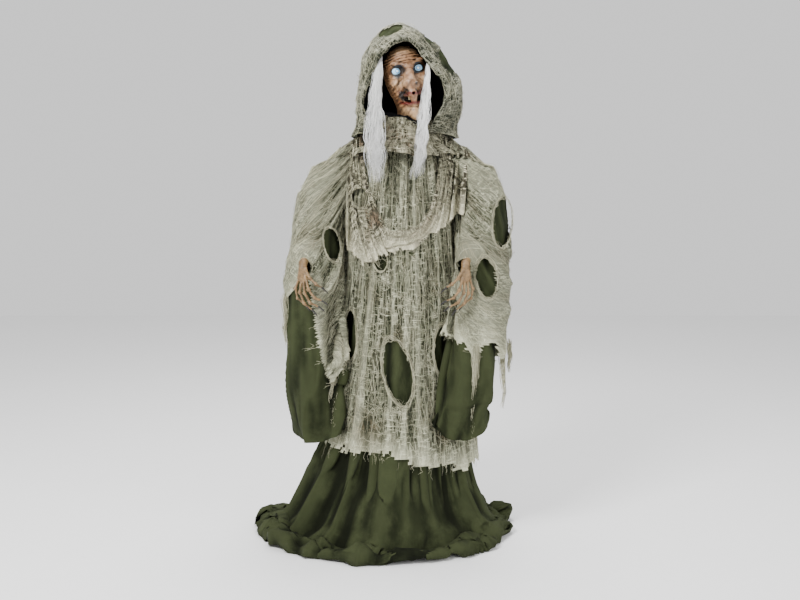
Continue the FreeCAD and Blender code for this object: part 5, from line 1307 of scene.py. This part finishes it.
BLACK = (0.004, 0.004, 0.005)
FINISHES = {
    "gauze": gauze_finish("gauze", (0.022, 0.024, 0.013), (0.35, 0.36, 0.24), (0.64, 0.64, 0.46),
                          (0.15, 0.12, 0.07)),
    "pale gauze": gauze_finish("pale gauze", (0.035, 0.032, 0.020), (0.46, 0.44, 0.30), (0.78, 0.74, 0.54),
                               (0.24, 0.17, 0.11)),
    "hood gauze": gauze_finish("hood gauze", (0.020, 0.022, 0.014), (0.28, 0.28, 0.21), (0.50, 0.49, 0.37),
                               (0.10, 0.10, 0.065)),
    "robe_linen": linen_finish("robe linen", (0.012, 0.015, 0.006), (0.042, 0.050, 0.022)),
    "black_cloth": linen_finish("black cloth", BLACK, (0.010, 0.010, 0.011)),
    "mask_latex": skin_finish("mask latex", (0.31, 0.170, 0.084), (0.12, 0.052, 0.020), (0.54, 0.35, 0.19)),
    "hand_skin": skin_finish("hand skin", (0.20, 0.115, 0.046), (0.055, 0.028, 0.010), (0.38, 0.25, 0.11)),
    "hair_fibre": yarn_finish("hair fibre", (0.62, 0.62, 0.60), (0.98, 0.98, 0.97), 0.4),
    "yarn": yarn_finish("yarn", (0.22, 0.21, 0.13), (0.70, 0.68, 0.48)),
    "eye_dome": eye_finish(),
    "lamp_lens": hard_finish("lamp lens", (0.75, 0.82, 0.88), (0.6, 0.7, 0.8), 0.15),
    "tooth_enamel": hard_finish("tooth enamel", (0.66, 0.54, 0.32), (0.30, 0.19, 0.08), 0.25, grain=500.0),
    "claw_black": hard_finish("claw black", (0.012, 0.010, 0.009), (0.05, 0.035, 0.02), 0.25, grain=400.0),
    "mat_rubber": hard_finish("mat rubber", (0.020, 0.020, 0.020), (0.05, 0.05, 0.048), 0.85, grain=900.0),
    "stand_steel": hard_finish("stand steel", (0.025, 0.025, 0.027), (0.09, 0.085, 0.08), 0.38, grain=600.0),
    "zinc_fasteners": hard_finish("zinc fasteners", (0.50, 0.50, 0.48), (0.30, 0.29, 0.26), 0.38, 1.0),
    "bright_steel": hard_finish("bright steel", (0.62, 0.62, 0.63), (0.42, 0.41, 0.40), 0.25, 1.0, 900.0,
                                (1, 1, 0.05)),
    "knob_plastic": hard_finish("knob plastic", (0.020, 0.020, 0.021), (0.05, 0.05, 0.05), 0.5, grain=700.0),
    "housing_plastic": hard_finish("housing plastic", (0.026, 0.026, 0.028), (0.055, 0.054, 0.052), 0.6,
                                   grain=1200.0),
    "speaker_black": hard_finish("speaker black", (0.016, 0.016, 0.017), (0.04, 0.04, 0.04), 0.7,
                                 grain=800.0),
    "board_green": hard_finish("board green", (0.012, 0.10, 0.035), (0.02, 0.16, 0.06), 0.35, grain=500.0),
    "cell_wrap": hard_finish("cell wrap", (0.09, 0.10, 0.12), (0.16, 0.17, 0.18), 0.3, grain=300.0),
    "gear_nylon": hard_finish("gear nylon", (0.72, 0.69, 0.60), (0.55, 0.50, 0.40), 0.45, grain=700.0),
    "bush_bronze": hard_finish("bush bronze", (0.45, 0.28, 0.11), (0.25, 0.14, 0.05), 0.4, 1.0, 800.0),
    "chest_plastic": hard_finish("chest plastic", (0.018, 0.018, 0.019), (0.04, 0.04, 0.04), 0.6,
                                 grain=900.0),
}


# ---------------------------------------------------------------- stage
CAMERA_HEIGHT = 1.205
CAMERA_BACK = 3.61
CAMERA_DOWN = math.radians(6.28)
LENS_MM = 46.62
CENTRE_SHIFT = -3 / 800


def set_stage():
    scene = bpy.context.scene
    camera = bpy.data.objects.new("camera", bpy.data.cameras.new("camera"))
    scene.collection.objects.link(camera)
    camera.location = (0, -CAMERA_BACK, CAMERA_HEIGHT)
    camera.rotation_euler = (math.pi / 2 - CAMERA_DOWN, 0, 0)
    camera.data.lens = LENS_MM
    camera.data.sensor_width = 36
    camera.data.shift_x = CENTRE_SHIFT
    scene.camera = camera

    floor = make_mesh("floor", [(-6, -6, 0), (6, -6, 0), (6, 6, 0), (-6, 6, 0)], np.array([[0, 1, 2, 3]]))
    floor.data.materials.append(hard_finish("pale floor", (0.86, 0.86, 0.86), (0.84, 0.84, 0.84), 0.85,
                                            grain=3.0, depth=0.0))

    world = bpy.data.worlds.new("studio")
    world.use_nodes = True
    world.node_tree.nodes["Background"].inputs[0].default_value = (1, 1, 1, 1)
    world.node_tree.nodes["Background"].inputs[1].default_value = 1.0
    scene.world = world
    for name, place, size, power in (("key", (-1.8, -2.6, 3.4), 1.3, 240),
                                     ("fill", (2.8, -2.4, 1.6), 2.0, 60),
                                     ("top", (0.2, 0.9, 3.8), 1.6, 110)):
        lamp = bpy.data.lights.new(name, "AREA")
        lamp.energy, lamp.size = power, size
        holder = bpy.data.objects.new(name, lamp)
        holder.location = place
        holder.rotation_euler = (Vector((0, 0, 0.9)) - Vector(place)).to_track_quat("-Z", "Y").to_euler()
        scene.collection.objects.link(holder)


# ---------------------------------------------------------------- putting the pieces on
def dress(obj, finish, body=None, nodes=()):
    obj.data.materials.append(FINISHES[finish])
    if body:
        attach(obj, body)
    if nodes:
        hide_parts(*nodes)
    return obj


def cloth_piece(name, cloth, finish, body=None, nodes=(), loop=True, keep=None,
                threads=None,
                flip=False, holes=(), front_of=0.0, hem=None, shreds=None):
    points, widths, length = cloth
    rows, cols = points.shape[:2]
    if keep is None:
        keep = np.ones((rows - 1, cols if loop else cols - 1), bool)
    # masks for painted shade in the fold valleys and painted highlight on the fold ridges; pale is the paler
    # band along the hem
    folds = fold_depth(points, loop)
    if hem is not None:
        folds["pale"] = np.clip(1 - (points[..., 2] - hem(points)) / 0.085, 0, 1)
    obj = dress(grid_object(name, points, float(widths.max()), length, loop, keep, flip, folds), finish, body,
                nodes)
    extra = []
    if threads:
        paths = np.concatenate([thread_paths(points, loop, keep=None if "where" in t else keep, **t)
                                for t in threads])
        yarn = dress(strands(name.replace("_cloth", "_yarns"), paths, YARN_RADIUS), "yarn", body, ())
        extra.append(yarn)
        if len(holes):
            rims = rim_paths(points, loop, holes, 7, front_of)
            if shreds is not None:
                rims = np.concatenate([rims, shreds])
            extra.append(dress(strands(name.replace("_cloth", "_rims"), rims, RIM_RADIUS), "yarn", body, ()))
    return [obj] + extra


def yarns(count, reach, seed, **more):
    return dict(count=int(count * RICH), reach=reach, seed=seed, **more)


def blend_neck(objects):
    for obj in objects:
        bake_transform(obj)


def blend_shoulder(objects):
    for obj in objects:
        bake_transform(obj)


def tunic_hem(c):
    edge = np.interp(c[..., 0], [-0.33, -0.22, -0.04, 0.0, 0.10, 0.20, 0.30],
                     [0.330, 0.318, 0.318, 0.303, 0.266, 0.252, 0.248])
    return np.where(c[..., 1] < 0.05, edge, 0.27)


def right_hem(c):
    edge = np.interp(c[..., 0], [-0.42, -0.38, -0.345, -0.31, -0.285, -0.260, -0.235, -0.200, -0.17],
                     [0.81, 0.84, 0.90, 0.90, 0.70, 0.59, 0.54, 0.60, 0.66])
    return np.where(c[..., 1] < -0.08, edge, 0.60)


def left_hem(c):
    edge = np.interp(c[..., 0], [0.13, 0.20, 0.237, 0.265, 0.300, 0.333, 0.350, 0.37],
                     [0.72, 0.69, 0.62, 0.69, 0.69, 0.62, 0.66, 0.62])
    return np.where(c[..., 1] < -0.10, edge, 0.62)


def cowl_hem(c):
    edge = np.interp(c[..., 0], [-0.20, -0.139, -0.10, -0.061, 0.0, 0.06, 0.12, 0.18],
                     [1.00, 0.944, 0.962, 0.982, 0.995, 1.020, 1.060, 1.110])
    return np.where(c[..., 1] < 0.0, edge, 1.0)


def edge_band(hem, above=0.05):
    return lambda q: (q[:, 2] > hem(q) - 0.002) & (q[:, 2] < hem(q) + above)


SLEEVE_HEM = {"right": right_hem, "left": left_hem}
SLEEVE_HOLES = {
    "right": [(-0.240, 1.010, 0.024, 0.056, 12), (-0.322, 0.938, 0.020, 0.030, 0)],
    "left": [(0.335, 1.085, 0.036, 0.080, -6), (0.275, 0.905, 0.034, 0.066, 8),
             (0.203, 0.938, 0.020, 0.030, 0)],
}
SHREDS = {
    "right": [(-0.232, 0.56, 0.395, 0.012), (-0.395, 0.82, 0.66, 0.007)],
    "left": [(0.236, 0.66, 0.375, 0.010), (0.330, 0.66, 0.475, 0.008), (0.362, 0.66, 0.570, 0.006)],
}
HAND_SLIT = {"right": [(-0.322, 0.945, 0.017, 0.022, 0)], "left": [(0.203, 0.945, 0.017, 0.022, 0)]}
TUNIC_HOLES = [(-0.018, 0.590, 0.047, 0.108, 12), (0.130, 0.655, 0.026, 0.080, 0),
               (-0.075, 0.955, 0.022, 0.034, 0),
               (-0.178, 0.700, 0.022, 0.085, 0)]
COWL_HOLES = [(-0.145, 1.165, 0.030, 0.034, 20), (0.035, 1.105, 0.036, 0.034, 10),
              (0.095, 1.250, 0.014, 0.048, -15)]
HOOD_HOLES = [(-0.040, 1.722, 0.046, 0.016, 18), (0.090, 1.700, 0.020, 0.018, -30),
              (0.150, 1.625, 0.026, 0.050, 28)]

robe = robe_cloth()
cloth_piece("robe_skirt_cloth", robe, "robe_linen", "stand", ("robe",))
tunic = tunic_cloth(Envelope(robe[0], 0.0, 0.02, 0.98))
torso = Envelope(tunic[0], 0.0, 0.2, 1.34)
cloth_piece("tunic_cloth", tunic, "gauze", "stand", ("gauze_tunic",),
            keep=torn(tunic[0], True, TUNIC_HOLES, tunic_hem, 71),
            holes=TUNIC_HOLES, hem=tunic_hem,
            threads=[yarns(2500, 14, 72, sideways=0.10, loopy=0.10),
                     yarns(1600, 4, 73, sideways=0.3, where=edge_band(tunic_hem, 0.030)),
                     yarns(1600, 12, 74, sideways=0.9, loopy=0.12)])
cowl = cowl_cloth(torso)
chest = Envelope(cowl[0], 0.0, 0.9, 1.42)
cloth_piece("cowl_cloth", cowl, "pale gauze", "stand", ("gauze_cowl",), loop=False, holes=COWL_HOLES,
            keep=torn(cowl[0], False, COWL_HOLES, cowl_hem, 75), hem=cowl_hem,
            threads=[yarns(2400, 14, 76, sideways=0.75, loopy=0.2),
                     yarns(700, 9, 79, sideways=0.9, where=edge_band(cowl_hem, 0.022))])
back = (cowl[0] * (1, -0.92, 1) + (0, 0.0, 0.01), cowl[1], cowl[2])
cloth_piece("cowl_back_cloth", back, "pale gauze", "stand", (), loop=False,
            keep=torn(back[0], False, (), cowl_hem, 77), threads=[yarns(700, 12, 78, sideways=0.6)],
            flip=True)
collar = frill((1.422, 1.392, 1.350, 1.310), (0.094, 0.104, 0.132, 0.170), (0.086, 0.098, 0.116, 0.136), 13,
               0.019, 81, -0.014)
cloth_piece("collar_cloth", collar, "pale gauze", "stand", (),
            keep=torn(collar[0], True, (), None, 82), threads=[yarns(700, 9, 83, loopy=0.5)])
neck = frill((1.450, 1.41, 1.35), (0.088, 0.092, 0.100), (0.074, 0.082, 0.090), 11, 0.016, 84, 0.002)
cloth_piece("neck_cloth", neck, "black_cloth", "stand", ("neck_cover",))
for name in SIDES:
    under = sleeve_cloth(name, 0, torso)
    blend_shoulder(cloth_piece(f"{name}_robe_sleeve_cloth", under, "robe_linen", None,
                                     (f"{name}_robe_sleeve",),
                                     keep=torn(under[0], True, HAND_SLIT[name], None, 85, -0.09)))
    over = fit_over(sleeve_cloth(name, 1, torso), under, name)
    hem = SLEEVE_HEM[name]
    blend_shoulder(cloth_piece(f"{name}_gauze_sleeve_cloth", over, "gauze", None, (f"{name}_gauze_sleeve",),
                                     keep=torn(over[0], True, SLEEVE_HOLES[name], hem, 86, -0.02),
                                     holes=SLEEVE_HOLES[name], front_of=-0.02, hem=hem,
                                     shreds=shred_paths(under[0], SHREDS[name], 31, -0.10),
                                     threads=[yarns(1700, 12, 87, sideways=0.12, loopy=0.15),
                                              yarns(900, 10, 89, sideways=0.9, loopy=0.15),
                                              yarns(700, 3, 88, sideways=0.1, where=edge_band(hem, 0.030))]))
hood = hood_cloth()
blend_neck(cloth_piece("hood_cloth", hood, "hood gauze", None, ("gauze_hood",), loop=False,
                       keep=torn(hood[0], False, HOOD_HOLES, None, 91, 0.2),
                       threads=[yarns(1500, 10, 92, sideways=0.4, loopy=0.2)]))
under_hood = hood_cloth(0.004)
blend_neck(cloth_piece("hood_under_cloth", under_hood, "robe_linen", None, (), loop=False))
lining = hood_cloth(0.009)
blend_neck(cloth_piece("hood_lining_cloth", lining, "black_cloth", None, ("hood_lining",), loop=False))
verts, quads = face_mesh()
tones = face_tones(verts)
# painted shade in the furrows of the mask
tones["crease"] = wrinkle_depth(verts)
dress(make_mesh("face_skin", head_to_row(verts), quads, colours=tones), "mask_latex", "head",
      ("face_mask", "skull_back"))
for name in SIDES:
    verts, quads = hand_mesh(name)
    tone = 0.5 + 0.5 * noise(verts, 60, 4)
    dress(make_mesh(f"{name}_hand_skin", verts, quads, colours={"pale": tone * 0.4}), "hand_skin",
          f"{name}_hand",
          (f"{name}_hand",))
    claws = []
    for chain in hand_points(name):
        (before, _), (tip, _) = chain[-2:]
        along = (tip - before) / np.linalg.norm(tip - before)
        t = np.linspace(0, 1, 10)[:, None]
        claws.append(tip + along * (0.026 * t - 0.003) + np.array([0, 0, -0.009]) * t**2)
    dress(strands(f"{name}_claw_tips", np.array(claws), CLAW_RADIUS, sides=10, tip=0.12), "claw_black",
          f"{name}_hand",
          (f"{name}_claws",))
for name in SIDES:
    dress(strands(f"{name}_hair_strands", hair_paths(name, chest), HAIR_RADIUS), "hair_fibre", "head",
          ("hair",) if name == "right" else ())


def eye_piece(side):
    """A domed eye whose pupil faces forwards."""
    centre = np.array([side * 0.0375, -0.0495, 0.030])
    rows, cols, radius = 24, 40, 0.0148
    polar = np.linspace(0.02, 2.2, rows)
    z0 = np.cos(polar)
    ring = rings(0 * polar, 0 * polar, 0 * polar, np.sin(polar), np.sin(polar), cols)
    look = np.stack([ring[..., 0], -np.repeat(z0[:, None], cols, 1), ring[..., 1]], -1)
    turn = math.radians(-6 * side)
    c, n = math.cos(turn), math.sin(turn)
    look = np.stack([look[..., 0] * c - look[..., 1] * n, look[..., 0] * n + look[..., 1] * c, look[..., 2]],
                    -1)
    quads, _, _ = grid_quads(rows, cols, True)
    mesh = make_mesh("left_eye" if side > 0 else "right_eye", head_to_row(centre + look * radius), quads,
                     colours={"polar": np.repeat(polar, cols)})
    return dress(mesh, "eye_dome", "head", ("eyes",) if side < 0 else ())


for side in (-1, 1):
    eye_piece(side)
for part in frame["record"]["subparts"]:
    node = frame["nodes"][part["node"]]
    if part["material_slot"] in FINISHES:
        node.data.materials.clear()
        node.data.materials.append(FINISHES[part["material_slot"]])
set_stage()
